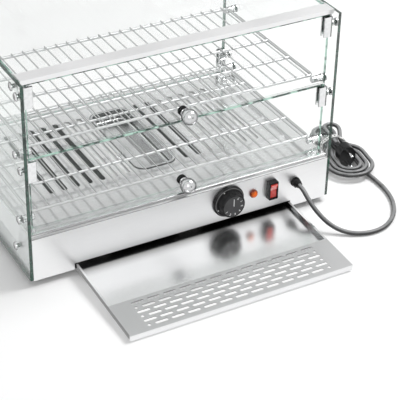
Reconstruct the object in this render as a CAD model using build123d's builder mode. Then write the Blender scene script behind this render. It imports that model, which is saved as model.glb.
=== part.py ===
"""Heated display case: glass cabinet with two flip-up doors on a steel base with a crumb tray."""
from build123d import *
from math import cos, dist, pi, radians, sin, sqrt, tan
import os

os.makedirs("parts", exist_ok=True)

# Overall sizes
WIDTH = 500.0
DEPTH = 330.0
SIDE_TOP = 323.0
GLASS = 5.0
SHEET = 1.2
FRONT = -DEPTH / 2
REAR = DEPTH / 2
OUTER = WIDTH / 2
INNER = OUTER - GLASS

# Base box, floor plate and water pan
FOOT_HEIGHT = 10.0
FOOT_RADIUS = 12.0
BASE_TOP = 81.0
DECK_TOP = 85.5
DECK_FRONT = FRONT + 3.0
FLANGE = 12.0
CONTROL_Z = 53.0
SLOT_WIDTH = 8.0
SLOT_LENGTH = 182.0
SLOT_MIDDLE = 16.0
SLOT_FIRST = 50.0
SLOT_PITCH = 20.5
SLOTS_PER_SIDE = 7
PAN_WIDTH = 70.0
PAN_LENGTH = 186.0
PAN_DEPTH = 17.0
PAN_CORNER = 18.0

# Doors, their clamps and pivots
DOOR_FRONT = FRONT + 12.0
DOOR_HALF = 238.0
DOOR_HEIGHT = 113.0
DOOR_BOTTOMS = {"lower": 89.0, "upper": 204.0}
PIVOT_DROP = 15.0
PIVOT_Y = DOOR_FRONT + GLASS / 2
CLAMP_INNER = 228.5
CLAMP_OUTER = 241.5
CLAMP_WALL = 3.0
CLAMP_ABOVE = 12.5
CLAMP_BELOW = 19.5
PIN_RADIUS = 2.5
PIN_PLAY = 0.05
BALL_RADIUS = 12.0
BALL_REACH = 15.5
KNOB_RAISE = 12.3
WASHER = 1.5

# Racks and the pegs that carry them
PEG_Y = FRONT + 32.0
PEG_RADIUS = 5.0
PEG_LEVELS = {"lower": 97.0, "upper": 203.5}
PEG_REACH = 18.0
RACK_ROD = 2.25
RACK_WIRE = 1.0
WIRE_REST = 0.02
RACK_HALF = 231.0
RACK_DEPTH_HALF = 128.0
RACK_LIFT = 5.35
WIRE_PITCH = 18.3
WIRES_PER_SIDE = 12
CROSS_ROD_PITCH = 64.0

# Top rails and top pane
RAIL_BOTTOM = 318.0
RAIL_DEPTH = 22.0
RAIL_LIP = 8.0
TOP_PANE = 4.0
RAIL_SCREW_Z = 309.0

# Screws through the side panes
BOLT_Y = 115.0
BOLT_Z = 42.0
HEAD_RADIUS = 6.2
HEAD_HEIGHT = 3.0
SHANK_RADIUS = 2.4
PANE_HOLE = 3.0

# Crumb tray on its inclined runners, at rest pulled out
TRAY_TILT = 2.7
TRAY_HALF = 180.0
TRAY_LENGTH = 300.0
TRAY_FRONT = -340.6
TRAY_TOP = 10.9
TRAY_DEEP = 6.7
TRAY_SHEET = 0.8
TRAY_LIP = 9.0
APRON = 70.0
NOTCH_HALF = 181.5
NOTCH_TOP = 20.5
HOLE_LENGTH = 20.0
HOLE_WIDTH = 5.0
HOLE_PITCH = 25.3
ROW_FIRST = 11.1
ROW_PITCH = 10.0

# Controls on the front panel
DIAL_X = 70.0
DIAL_SKIRT = 26.0
DIAL_DRUM = 19.5
DIAL_GAP = 0.8
DIAL_HEIGHT = 17.5
SHAFT_RADIUS = 3.0
LAMP_X = 114.0
SWITCH_X = 145.0
SWITCH_WIDTH = 16.0
SWITCH_HEIGHT = 31.0
SWITCH_PROUD = 9.0
ROCKER_TILT = 10.0
GLAND_X = 188.0
GLAND_REACH = 13.0
GLAND_SHANK = 5.5

# Heater below the floor plate
HEATER_RADIUS = 4.0
HEATER_Z = 60.0
HEATER_LEFT = -121.75
HEATER_RIGHT = 60.25
HEATER_FRONT = -100.0
HEATER_REAR = 120.0

# Power cord: free stretch, then a tied hank with its plug
CORD_RADIUS = 3.5
CORD_ROUTE = [
    (188.0, -170.0, 53.0),
    (188.0, -180.0, 53.0),
    (188.2, -190.0, 50.0),
    (188.9, -200.0, 43.6),
    (190.8, -211.5, 35.5),
    (194.8, -224.5, 26.6),
    (201.8, -237.3, 17.2),
    (212.0, -249.5, 9.4),
    (225.0, -261.0, 5.0),
    (240.5, -270.0, 3.7),
    (258.0, -275.0, 3.7),
    (276.0, -274.5, 3.7),
    (293.5, -268.5, 3.7),
    (309.5, -257.5, 3.7),
    (323.5, -242.5, 3.7),
    (335.0, -224.5, 3.7),
    (343.0, -205.0, 3.7),
    (347.5, -184.0, 3.7),
    (349.0, -163.0, 3.9),
    (348.2, -143.5, 4.4),
]

# Hank: where each strand lies across it and on which layer, at its front, its tied waist and its rear
HANK_X = 342.0
HANK_Y = -38.0
HANK_LEAN = 10.0
HANK_FRONT = -68.0
HANK_REAR = 34.0
FRONT_ACROSS = [21.0, -16.5, 19.5, -26.0, 29.0, -35.5, 38.5]
FRONT_LAYERS = [0, 1, 1, 1, 1, 1, 1]
FANNED_BY = [-50.0, -50.0, -50.0, -44.0, -44.0, -36.0, -36.0]
WAIST_ACROSS = [4.0, -4.0, 7.0, -9.0, 13.0, -13.0, 18.0]
WAIST_LAYERS = [0, 0, 1, 1, 0, 0, 1]
REAR_ACROSS = [10.5, -10.5, 17.0, -17.0, 19.5, -19.5, 25.0]
REAR_LAYERS = [0, 0, 1, 1, 0, 0, 2]
LAYER_BOTTOM = 4.8
LAYER_STEP = 7.6
TAIL_V = 1.5
TIE_WIDTH = 7.0
TIE_THICK = 0.9
PLUG_REAR = -18.0
PLUG_WIDE = 14.0
PLUG_TALL = 18.0
PIN_SPACING = 19.0
PIN_LENGTH = 18.0


def save(piece, node):
    """Label one finished piece and write it as its own file."""
    piece.part.label = node
    export_step(piece.part, f"parts/{node}.step")


def side_plane(side, y, z, x=OUTER):
    """A plane on one side pane, its normal pointing out of the case."""
    return Plane(origin=(side * x, y, z), x_dir=(0, side, 0), z_dir=(side, 0, 0))


def revolved(points):
    """A turned piece about the Z axis, from its half outline as radius and height."""
    with BuildPart() as turned:
        with BuildSketch(Plane.XZ):
            with BuildLine():
                Polyline(*points, close=True)
            make_face()
        revolve(axis=Axis.Z)
    return turned.part


def cross_screw(length):
    """A pan-head screw with a cross recess: its seat at the origin, its shank downwards."""
    with BuildPart() as screw:
        with BuildSketch(Plane.XZ):
            with BuildLine():
                Polyline((0, -length), (SHANK_RADIUS, -length), (SHANK_RADIUS, 0), (HEAD_RADIUS, 0))
                Line((HEAD_RADIUS, 0), (HEAD_RADIUS, HEAD_HEIGHT * 0.45))
                TangentArc((0, HEAD_HEIGHT), (HEAD_RADIUS, HEAD_HEIGHT * 0.45), tangent=(1, 0))
                Line((0, HEAD_HEIGHT), (0, -length))
            make_face()
        revolve(axis=Axis.Z)
        with Locations((0, 0, HEAD_HEIGHT)):
            Box(5.6, 1.3, 2.4, mode=Mode.SUBTRACT)
            Box(1.3, 5.6, 2.4, mode=Mode.SUBTRACT)
    return screw.part


def group(piece, planes):
    """Several copies of one piece, kept as separate solids."""
    with BuildPart() as copies:
        with Locations(*planes):
            add(piece)
    return copies


# Front panel: folded sheet with the tray notch and the control holes
with BuildPart() as front_panel:
    with BuildSketch(Plane.YZ):
        with BuildLine():
            FilletPolyline(
                (FRONT, FOOT_HEIGHT),
                (FRONT, BASE_TOP),
                (FRONT + FLANGE, BASE_TOP),
                radius=2.0,
            )
            offset(amount=SHEET, side=Side.RIGHT)
        make_face()
    extrude(amount=INNER, both=True)
    with BuildSketch(Plane.XZ.offset(-FRONT)):
        with Locations((0, FOOT_HEIGHT)):
            Rectangle(2 * NOTCH_HALF, NOTCH_TOP - FOOT_HEIGHT, align=(Align.CENTER, Align.MIN))
        with Locations((DIAL_X, CONTROL_Z)):
            Circle(5.2)
        with Locations((LAMP_X, CONTROL_Z)):
            Circle(5.0)
        with Locations((SWITCH_X, CONTROL_Z)):
            Rectangle(13.0, 28.6)
        with Locations((GLAND_X, CONTROL_Z)):
            Circle(GLAND_SHANK + 0.2)
    extrude(amount=-3 * SHEET, mode=Mode.SUBTRACT)
save(front_panel, "front_panel")

# Base body: the two side walls and the rear wall, with a flange round the top
WALL_FRONT = FRONT + SHEET
with BuildPart() as base_body:
    with Locations((0, (WALL_FRONT + REAR) / 2, FOOT_HEIGHT)):
        Box(
            2 * INNER,
            REAR - WALL_FRONT,
            BASE_TOP - FOOT_HEIGHT,
            align=(Align.CENTER, Align.CENTER, Align.MIN),
        )
    fillet(base_body.edges().filter_by(Axis.Z).group_by(Axis.Y)[-1], 3.0)
    with BuildSketch(Plane.XY.offset(FOOT_HEIGHT)):
        with Locations((0, WALL_FRONT)):
            Rectangle(2 * (INNER - SHEET), REAR - SHEET - WALL_FRONT, align=(Align.CENTER, Align.MIN))
    extrude(amount=BASE_TOP - SHEET - FOOT_HEIGHT, mode=Mode.SUBTRACT)
    with BuildSketch(Plane.XY.offset(BASE_TOP - 2 * SHEET)):
        with Locations((0, WALL_FRONT)):
            Rectangle(2 * (INNER - FLANGE), REAR - FLANGE - WALL_FRONT, align=(Align.CENTER, Align.MIN))
        with Locations((0, WALL_FRONT)):
            Rectangle(2 * INNER, FLANGE + 1, align=(Align.CENTER, Align.MIN))
    extrude(amount=3 * SHEET, mode=Mode.SUBTRACT)
    with Locations(*[side_plane(s, y, BOLT_Z, INNER) for s in (-1, 1) for y in (-BOLT_Y, BOLT_Y)]):
        Hole(PANE_HOLE, depth=2 * SHEET)
save(base_body, "base_body")

# Bottom plate between the walls
with BuildPart() as bottom_plate:
    with BuildSketch(Plane.XY.offset(FOOT_HEIGHT)):
        with Locations((0, (FRONT + REAR) / 2)):
            Rectangle(2 * (INNER - SHEET), DEPTH - 2 * SHEET)
        with GridLocations(430, 270, 2, 2):
            Circle(SHANK_RADIUS, mode=Mode.SUBTRACT)
    extrude(amount=SHEET)
save(bottom_plate, "bottom_plate")

# Rubber feet screwed under the corners
FOOT_PLACES = {
    "foot_front_left": (-215, -135),
    "foot_front_right": (215, -135),
    "foot_rear_left": (-215, 135),
    "foot_rear_right": (215, 135),
}
FOOT_OUTLINE = [
    (0, 0),
    (FOOT_RADIUS - 2, 0),
    (FOOT_RADIUS, FOOT_HEIGHT),
    (SHANK_RADIUS - 0.1, FOOT_HEIGHT),
    (SHANK_RADIUS - 0.1, FOOT_HEIGHT + 5),
    (0, FOOT_HEIGHT + 5),
]
for node, (x, y) in FOOT_PLACES.items():
    foot = group(revolved(FOOT_OUTLINE), [Plane((x, y, 0))])
    save(foot, node)

# Slotted floor plate: a shallow lid with rows of warm-air slots and the water pan's opening
with BuildPart() as floor_plate:
    with BuildSketch(Plane.XY.offset(BASE_TOP)):
        with Locations((0, (DECK_FRONT + REAR) / 2)):
            Rectangle(2 * INNER - 0.4, REAR - DECK_FRONT - 0.4)
    extrude(amount=DECK_TOP - BASE_TOP)
    fillet(floor_plate.edges().group_by(Axis.Z)[-1], 1.6)
    with BuildSketch(Plane.XY.offset(BASE_TOP)):
        with Locations((0, (DECK_FRONT + REAR) / 2)):
            Rectangle(2 * INNER - 0.4 - 2 * SHEET, REAR - DECK_FRONT - 0.4 - 2 * SHEET)
    extrude(amount=DECK_TOP - BASE_TOP - SHEET, mode=Mode.SUBTRACT)
    with BuildSketch(Plane.XY.offset(DECK_TOP)):
        for side in (-1, 1):
            for number in range(SLOTS_PER_SIDE):
                with Locations((side * (SLOT_FIRST + number * SLOT_PITCH), SLOT_MIDDLE)):
                    SlotOverall(SLOT_LENGTH, SLOT_WIDTH, rotation=90)
        with Locations((0, SLOT_MIDDLE)):
            RectangleRounded(PAN_WIDTH - 6, PAN_LENGTH - 6, PAN_CORNER - 3)
    extrude(amount=-3 * SHEET, mode=Mode.SUBTRACT)
save(floor_plate, "floor_plate")

# Water pan: drawn dish with a flat rim that hangs in the floor plate
with BuildPart() as pan_hollow:
    with BuildSketch(Plane.XY.offset(DECK_TOP - PAN_DEPTH + SHEET)):
        with Locations((0, SLOT_MIDDLE)):
            RectangleRounded(PAN_WIDTH - 9, PAN_LENGTH - 9, PAN_CORNER - 4.5)
    extrude(amount=PAN_DEPTH)
    fillet(pan_hollow.edges().group_by(Axis.Z)[0], 5.0)
with BuildPart() as water_pan:
    with BuildSketch(Plane.XY.offset(DECK_TOP - PAN_DEPTH)):
        with Locations((0, SLOT_MIDDLE)):
            RectangleRounded(PAN_WIDTH - 7, PAN_LENGTH - 7, PAN_CORNER - 3.5)
    extrude(amount=PAN_DEPTH)
    fillet(water_pan.edges().group_by(Axis.Z)[0], 6.0)
    with BuildSketch(Plane.XY.offset(DECK_TOP)):
        with Locations((0, SLOT_MIDDLE)):
            RectangleRounded(PAN_WIDTH, PAN_LENGTH, PAN_CORNER)
    extrude(amount=SHEET)
    add(pan_hollow.part, mode=Mode.SUBTRACT)
save(water_pan, "water_pan")

# Side panes with their drilled holes
PEG_PLACES = [(s * -PEG_Y, z) for z in PEG_LEVELS.values() for s in (-1, 1)]
RAIL_PLACES = [(s * -PEG_Y, RAIL_SCREW_Z) for s in (-1, 1)]
BOLT_PLACES = [(s * BOLT_Y, BOLT_Z) for s in (-1, 1)]
PIVOT_HEIGHTS = [bottom + DOOR_HEIGHT - PIVOT_DROP for bottom in DOOR_BOTTOMS.values()]
PIVOT_PLACES = [(PIVOT_Y, z) for z in PIVOT_HEIGHTS]
REAR_CLAMP_PLACES = [(-PIVOT_Y, z) for z in (DOOR_BOTTOMS["lower"] + 22.0, PIVOT_HEIGHTS[1])]
DRILLINGS = PEG_PLACES + RAIL_PLACES + BOLT_PLACES + PIVOT_PLACES + REAR_CLAMP_PLACES
for node, side in {"left_glass": -1, "right_glass": 1}.items():
    with BuildPart() as side_glass:
        with BuildSketch(side_plane(side, 0, 0, INNER)):
            with Locations((0, (SIDE_TOP + FOOT_HEIGHT + 1) / 2)):
                Rectangle(DEPTH, SIDE_TOP - FOOT_HEIGHT - 1)
            with Locations(*[(side * y, z) for y, z in DRILLINGS]):
                Circle(PANE_HOLE, mode=Mode.SUBTRACT)
        extrude(amount=GLASS)
        outer_edges = side_glass.edges().filter_by(GeomType.LINE)
        chamfer(outer_edges, 0.5)
    save(side_glass, node)

# Folded rails along the top edges, with an ear at each end for its screw
for node, facing in {"front_rail": 1, "rear_rail": -1}.items():
    rail_y = facing * DOOR_FRONT
    with BuildPart() as rail:
        with BuildSketch(Plane.YZ):
            with BuildLine():
                Polyline(
                    (rail_y + facing * RAIL_LIP, RAIL_BOTTOM),
                    (rail_y, RAIL_BOTTOM),
                    (rail_y, RAIL_BOTTOM + TOP_PANE + 2 * SHEET + 0.2),
                    (rail_y + facing * RAIL_DEPTH, RAIL_BOTTOM + TOP_PANE + 2 * SHEET + 0.2),
                    (rail_y + facing * RAIL_DEPTH, RAIL_BOTTOM + TOP_PANE + SHEET + 0.2),
                    (rail_y + facing * SHEET, RAIL_BOTTOM + TOP_PANE + SHEET + 0.2),
                    (rail_y + facing * SHEET, RAIL_BOTTOM + SHEET),
                    (rail_y + facing * RAIL_LIP, RAIL_BOTTOM + SHEET),
                    close=True,
                )
            make_face()
        extrude(amount=INNER - 0.2, both=True)
        for side in (-1, 1):
            with BuildSketch(side_plane(side, 0, 0, INNER - 0.2)):
                with Locations((-side * facing * -PEG_Y, RAIL_SCREW_Z + 3.0)):
                    RectangleRounded(20.0, 24.0, 3.0)
                with Locations((-side * facing * -PEG_Y, RAIL_SCREW_Z)):
                    Circle(PANE_HOLE - 0.4, mode=Mode.SUBTRACT)
            extrude(amount=-SHEET)
    save(rail, node)

# Top pane held between the rails
with BuildPart() as top_glass:
    with Locations((0, 0, RAIL_BOTTOM + SHEET + 0.1)):
        Box(
            2 * (INNER - SHEET - 0.6),
            -2 * (DOOR_FRONT + SHEET + 0.4),
            TOP_PANE,
            align=(Align.CENTER, Align.CENTER, Align.MIN),
        )
    chamfer(top_glass.edges(), 0.5)
save(top_glass, "top_glass")

# Rear pane, fixed at its corners
REAR_BOTTOM = DOOR_BOTTOMS["lower"]
REAR_TOP = DOOR_BOTTOMS["upper"] + DOOR_HEIGHT
with BuildPart() as rear_glass:
    with Locations((0, -PIVOT_Y, REAR_BOTTOM)):
        Box(2 * DOOR_HALF, GLASS, REAR_TOP - REAR_BOTTOM, align=(Align.CENTER, Align.CENTER, Align.MIN))
    chamfer(rear_glass.edges(), 0.5)
save(rear_glass, "rear_glass")


def clamp_block(side, facing, z):
    """A U-shaped clamp round a pane's upright edge, bored for its pivot pin."""
    with BuildPart() as clamp:
        with BuildSketch(Plane.XY.offset(z - CLAMP_BELOW)):
            with Locations((side * (CLAMP_INNER + CLAMP_OUTER) / 2, facing * PIVOT_Y)):
                Rectangle(CLAMP_OUTER - CLAMP_INNER, GLASS + 2 * CLAMP_WALL)
        extrude(amount=CLAMP_ABOVE + CLAMP_BELOW)
        fillet(clamp.edges().filter_by(Axis.Z), 1.0)
        with BuildSketch(Plane.XY.offset(z - CLAMP_BELOW)):
            with Locations((side * (CLAMP_INNER - 1 + DOOR_HALF) / 2, facing * PIVOT_Y)):
                Rectangle(DOOR_HALF - CLAMP_INNER + 1, GLASS)
        extrude(amount=CLAMP_ABOVE + CLAMP_BELOW, mode=Mode.SUBTRACT)
        with Locations(side_plane(side, facing * PIVOT_Y, z, CLAMP_OUTER)):
            Hole(PIN_RADIUS + PIN_PLAY, depth=CLAMP_OUTER - DOOR_HALF)
        grub_plane = Plane(
            origin=(side * (CLAMP_INNER + 4.5), facing * (PIVOT_Y + GLASS / 2 + CLAMP_WALL), z),
            x_dir=(1, 0, 0),
            z_dir=(0, facing, 0),
        )
        with BuildSketch(grub_plane):
            with Locations((0, 6 * facing * -1), (0, 6 * facing)):
                Circle(1.8)
        extrude(amount=-0.8, mode=Mode.SUBTRACT)
    return clamp.part


# Doors: pane, two clamps, ball knob, its washers and its screw
for level, bottom in DOOR_BOTTOMS.items():
    pivot_z = bottom + DOOR_HEIGHT - PIVOT_DROP
    knob_z = bottom + KNOB_RAISE
    with BuildPart() as door_glass:
        with Locations((0, PIVOT_Y, bottom)):
            Box(2 * DOOR_HALF, GLASS, DOOR_HEIGHT, align=(Align.CENTER, Align.CENTER, Align.MIN))
        chamfer(door_glass.edges(), 0.5)
        with BuildSketch(Plane.XZ.offset(-DOOR_FRONT)):
            with Locations((0, knob_z)):
                Circle(PANE_HOLE)
        extrude(amount=-GLASS, mode=Mode.SUBTRACT)
    save(door_glass, f"{level}_door_glass")
    for name, side in {"left": -1, "right": 1}.items():
        clamp_copy = group(clamp_block(side, 1, pivot_z), [Plane.XY])
        save(clamp_copy, f"{level}_clamp_{name}")
    ball_z = BALL_REACH - WASHER
    neck_top = ball_z - sqrt(BALL_RADIUS**2 - 4.6**2)
    with BuildPart() as door_knob:
        with BuildSketch(Plane.XZ):
            with BuildLine():
                Polyline((2.1, 9), (2.1, 0), (7, 0), (7, 1.5), (4.6, 2.2), (4.6, neck_top))
                ThreePointArc((4.6, neck_top), (BALL_RADIUS, ball_z), (0, ball_z + BALL_RADIUS))
                Polyline((0, ball_z + BALL_RADIUS), (0, 9), (2.1, 9))
            make_face()
        revolve(axis=Axis.Z)
    knob_plane = Plane((0, DOOR_FRONT - WASHER, knob_z), x_dir=(1, 0, 0), z_dir=(0, -1, 0))
    knob_copy = group(door_knob.part, [knob_plane])
    save(knob_copy, f"{level}_knob")
    washer = revolved([(2.6, 0), (7.5, 0), (7.5, WASHER), (2.6, WASHER)])
    front_washer = Plane((0, DOOR_FRONT, knob_z), x_dir=(1, 0, 0), z_dir=(0, -1, 0))
    rear_washer = Plane((0, DOOR_FRONT + GLASS, knob_z), x_dir=(1, 0, 0), z_dir=(0, 1, 0))
    washers = group(washer, [front_washer, rear_washer])
    save(washers, f"{level}_knob_washers")
    screw = revolved([(0, -16), (2.0, -16), (2.0, 0), (5, 0), (5, 1.4), (3.6, 2.6), (0, 2.6)])
    screw_plane = Plane((0, DOOR_FRONT + GLASS + WASHER, knob_z), x_dir=(1, 0, 0), z_dir=(0, 1, 0))
    knob_screw = group(screw, [screw_plane])
    save(knob_screw, f"{level}_knob_screw")

# Pivot pins through the side panes, with an outside head and an inside collar
PIVOT_PIN = [
    (0, -(OUTER - DOOR_HALF) + 0.4),
    (PIN_RADIUS, -(OUTER - DOOR_HALF) + 0.4),
    (PIN_RADIUS, -GLASS - 3.0),
    (4.5, -GLASS - 3.0),
    (4.5, -GLASS),
    (PANE_HOLE - 0.1, -GLASS),
    (PANE_HOLE - 0.1, 0),
    (HEAD_RADIUS, 0),
    (HEAD_RADIUS, 1.6),
    (HEAD_RADIUS - 1.6, HEAD_HEIGHT),
    (0, HEAD_HEIGHT),
]
pivot_planes = [side_plane(s, y, z) for s in (-1, 1) for y, z in PIVOT_PLACES]
door_pivots = group(revolved(PIVOT_PIN), pivot_planes)
save(door_pivots, "door_pivots")
rear_pin_planes = [side_plane(s, y, z) for s in (-1, 1) for y, z in REAR_CLAMP_PLACES]
rear_pins = group(revolved(PIVOT_PIN), rear_pin_planes)
save(rear_pins, "rear_pane_pins")
with BuildPart() as rear_clamps:
    for side in (-1, 1):
        for _, z in REAR_CLAMP_PLACES:
            add(clamp_block(side, -1, z))
save(rear_clamps, "rear_clamps")

# Shelf pegs: turned, with a collar at the pane and a groove behind the end disc
PEG_OUTLINE = [
    (SHANK_RADIUS + 0.1, 0),
    (6.0, 0),
    (6.0, 2.0),
    (PEG_RADIUS, 2.0),
    (PEG_RADIUS, 10.0),
    (3.4, 10.0),
    (3.4, 12.0),
    (PEG_RADIUS, 12.0),
    (PEG_RADIUS, PEG_REACH - 0.8),
    (PEG_RADIUS - 0.8, PEG_REACH),
    (0, PEG_REACH),
    (0, 9.0),
    (SHANK_RADIUS + 0.1, 9.0),
]
for level, z in PEG_LEVELS.items():
    peg_planes = [
        Plane((s * INNER, y, z), x_dir=(0, 1, 0), z_dir=(-s, 0, 0)) for s in (-1, 1) for y in (PEG_Y, -PEG_Y)
    ]
    pegs = group(revolved(PEG_OUTLINE), peg_planes)
    save(pegs, f"{level}_pegs")
peg_screws = group(cross_screw(GLASS + 8.0), [side_plane(s, y, z) for s in (-1, 1) for y, z in PEG_PLACES])
save(peg_screws, "peg_screws")
rail_screws = group(cross_screw(GLASS + 5.0), [side_plane(s, y, z) for s in (-1, 1) for y, z in RAIL_PLACES])
save(rail_screws, "rail_screws")
base_bolts = group(cross_screw(GLASS + 8.0), [side_plane(s, y, z) for s in (-1, 1) for y, z in BOLT_PLACES])
save(base_bolts, "base_bolts")

# Wire racks: a bent frame rod with three cross rods, and the wires that lie on top
for level, peg_z in PEG_LEVELS.items():
    rod_z = peg_z + RACK_LIFT
    wire_z = rod_z + RACK_ROD + RACK_WIRE * cos(radians(30)) + WIRE_REST
    with BuildPart() as rack:
        with BuildLine() as frame_line:
            FilletPolyline(
                (RACK_HALF, -RACK_DEPTH_HALF, rod_z),
                (RACK_HALF, RACK_DEPTH_HALF, rod_z),
                (-RACK_HALF, RACK_DEPTH_HALF, rod_z),
                (-RACK_HALF, -RACK_DEPTH_HALF, rod_z),
                radius=6.0,
                close=True,
            )
        frame_wire = frame_line.wires()[0]
        with BuildSketch(Plane(frame_wire @ 0, z_dir=frame_wire % 0)):
            Circle(RACK_ROD)
        sweep(path=frame_line.line)
        with BuildSketch(Plane.YZ):
            with Locations(*[(k * CROSS_ROD_PITCH, rod_z) for k in (-1, 0, 1)]):
                Circle(RACK_ROD)
        extrude(amount=RACK_HALF, both=True)
        with BuildSketch(Plane.XZ):
            for number in range(-WIRES_PER_SIDE, WIRES_PER_SIDE + 1):
                with Locations((number * WIRE_PITCH, wire_z)):
                    RegularPolygon(RACK_WIRE, 6)
        extrude(amount=RACK_DEPTH_HALF + 2.5, both=True)
    save(rack, f"{level}_rack")

# Crumb tray: folded pan behind a perforated apron, drawn in its own inclined frame
tray_plane = Plane(
    origin=(0, TRAY_FRONT, TRAY_TOP),
    x_dir=(1, 0, 0),
    z_dir=(0, -sin(radians(TRAY_TILT)), cos(radians(TRAY_TILT))),
)
with BuildPart() as crumb_tray:
    with BuildSketch(tray_plane.offset(-TRAY_DEEP - TRAY_SHEET)):
        with Locations((0, APRON)):
            Rectangle(2 * TRAY_HALF, TRAY_LENGTH - APRON, align=(Align.CENTER, Align.MIN))
    extrude(amount=TRAY_DEEP + TRAY_SHEET)
    with BuildSketch(tray_plane):
        with Locations((0, APRON + TRAY_SHEET)):
            Rectangle(
                2 * (TRAY_HALF - TRAY_SHEET),
                TRAY_LENGTH - APRON - 2 * TRAY_SHEET,
                align=(Align.CENTER, Align.MIN),
            )
    extrude(amount=-TRAY_DEEP, mode=Mode.SUBTRACT)
    with BuildSketch(tray_plane):
        for side in (-1, 1):
            with Locations((side * TRAY_HALF, APRON)):
                Rectangle(
                    3.0,
                    TRAY_LENGTH - APRON,
                    align=(Align.MAX if side > 0 else Align.MIN, Align.MIN),
                )
    extrude(amount=-1.6)
    with BuildSketch(tray_plane):
        for side in (-1, 1):
            with Locations((side * TRAY_HALF, 0)):
                Rectangle(
                    TRAY_SHEET,
                    APRON,
                    align=(Align.MAX if side > 0 else Align.MIN, Align.MIN),
                )
    extrude(amount=-TRAY_DEEP - TRAY_SHEET)
    with BuildSketch(tray_plane):
        Rectangle(2 * TRAY_HALF, TRAY_SHEET, align=(Align.CENTER, Align.MIN))
    extrude(amount=-TRAY_LIP)
    with BuildSketch(tray_plane):
        Rectangle(2 * TRAY_HALF, APRON + TRAY_SHEET, align=(Align.CENTER, Align.MIN))
        for row in range(6):
            count = 11 if row % 2 == 0 else 12
            with Locations((0, ROW_FIRST + row * ROW_PITCH)):
                with GridLocations(HOLE_PITCH, 1, count, 1):
                    SlotOverall(HOLE_LENGTH, HOLE_WIDTH, mode=Mode.SUBTRACT)
            if row % 2 == 0:
                with Locations((0, ROW_FIRST + row * ROW_PITCH)):
                    with GridLocations(292.0, 1, 2, 1):
                        Circle(HOLE_WIDTH / 2, mode=Mode.SUBTRACT)
    extrude(amount=-TRAY_SHEET)
save(crumb_tray, "crumb_tray")

# Runners: inclined channels beside the tray, each on an upright web with a foot flange
RUNNER_START = 204.0
RUNNER_END = 478.0
RUNNER_IN = TRAY_HALF + 0.6
floor_top = FOOT_HEIGHT + SHEET
slope = tan(radians(TRAY_TILT))
for node, side in {"tray_runner_left": -1, "tray_runner_right": 1}.items():
    with BuildPart() as runner:
        for low in (-TRAY_DEEP - TRAY_SHEET - 0.4 - SHEET, 0.5):
            with BuildSketch(tray_plane.offset(low)):
                with Locations((side * (RUNNER_IN + SHEET), RUNNER_START)):
                    Rectangle(
                        8.0,
                        RUNNER_END - RUNNER_START,
                        align=(Align.MAX if side > 0 else Align.MIN, Align.MIN),
                    )
            extrude(amount=SHEET)
        start_y = TRAY_FRONT + RUNNER_START * cos(radians(TRAY_TILT))
        end_y = TRAY_FRONT + RUNNER_END * cos(radians(TRAY_TILT))
        with BuildSketch(Plane.YZ.offset(side * RUNNER_IN)):
            with BuildLine():
                Polyline(
                    (start_y, floor_top),
                    (end_y, floor_top),
                    (end_y, TRAY_TOP + (end_y - TRAY_FRONT) * slope + 1.5),
                    (start_y, TRAY_TOP + (start_y - TRAY_FRONT) * slope + 1.5),
                    close=True,
                )
            make_face()
        extrude(amount=side * SHEET)
        with BuildSketch(Plane.XY.offset(floor_top)):
            with Locations((side * RUNNER_IN, start_y)):
                Rectangle(11.0, end_y - start_y, align=(Align.MIN if side > 0 else Align.MAX, Align.MIN))
        extrude(amount=SHEET)
    save(runner, node)

# Thermostat knob: a bevelled skirt, a gripped drum and a pointer groove on its face
dial_plane = Plane((DIAL_X, FRONT - DIAL_GAP, CONTROL_Z), x_dir=(1, 0, 0), z_dir=(0, -1, 0))
with BuildPart() as thermostat_knob:
    with BuildSketch(Plane.XZ):
        with BuildLine():
            Polyline(
                (0, 0),
                (DIAL_SKIRT, 0),
                (DIAL_SKIRT, 2.4),
                (DIAL_SKIRT - 2.6, 5.0),
                (DIAL_DRUM + 1.2, 5.6),
                (DIAL_DRUM, DIAL_HEIGHT - 1.0),
                (DIAL_DRUM - 1.0, DIAL_HEIGHT),
                (0, DIAL_HEIGHT),
                close=True,
            )
        make_face()
    revolve(axis=Axis.Z)
    with BuildSketch(Plane.XY.offset(DIAL_HEIGHT)):
        with Locations((0, 6.5)):
            SlotOverall(13.0, 1.8, rotation=90)
    extrude(amount=-0.5, mode=Mode.SUBTRACT)
    with BuildSketch(Plane.XY):
        Circle(SHAFT_RADIUS)
    extrude(amount=12.0, mode=Mode.SUBTRACT)
knob_turned = group(thermostat_knob.part, [dial_plane])
save(knob_turned, "thermostat_knob")
with BuildPart() as thermostat_shaft:
    with BuildSketch(dial_plane.offset(12.0)):
        Circle(SHAFT_RADIUS)
    extrude(amount=-28.0)
save(thermostat_shaft, "thermostat_shaft")

# Thermostat body behind the panel, with the bushing that its shaft turns in
with BuildPart() as thermostat_body:
    with BuildSketch(Plane.XZ.offset(-FRONT - SHEET)):
        with Locations((DIAL_X, CONTROL_Z)):
            RectangleRounded(44.0, 34.0, 5.0)
    extrude(amount=-32.0)
    with BuildSketch(Plane.XZ.offset(-FRONT - SHEET)):
        with Locations((DIAL_X, CONTROL_Z)):
            Circle(5.0)
    extrude(amount=SHEET + 0.3)
    with BuildSketch(Plane.XZ.offset(-FRONT + 1)):
        with Locations((DIAL_X, CONTROL_Z)):
            Circle(SHAFT_RADIUS + PIN_PLAY)
    extrude(amount=-20.0, mode=Mode.SUBTRACT)
save(thermostat_body, "thermostat_body")

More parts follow.
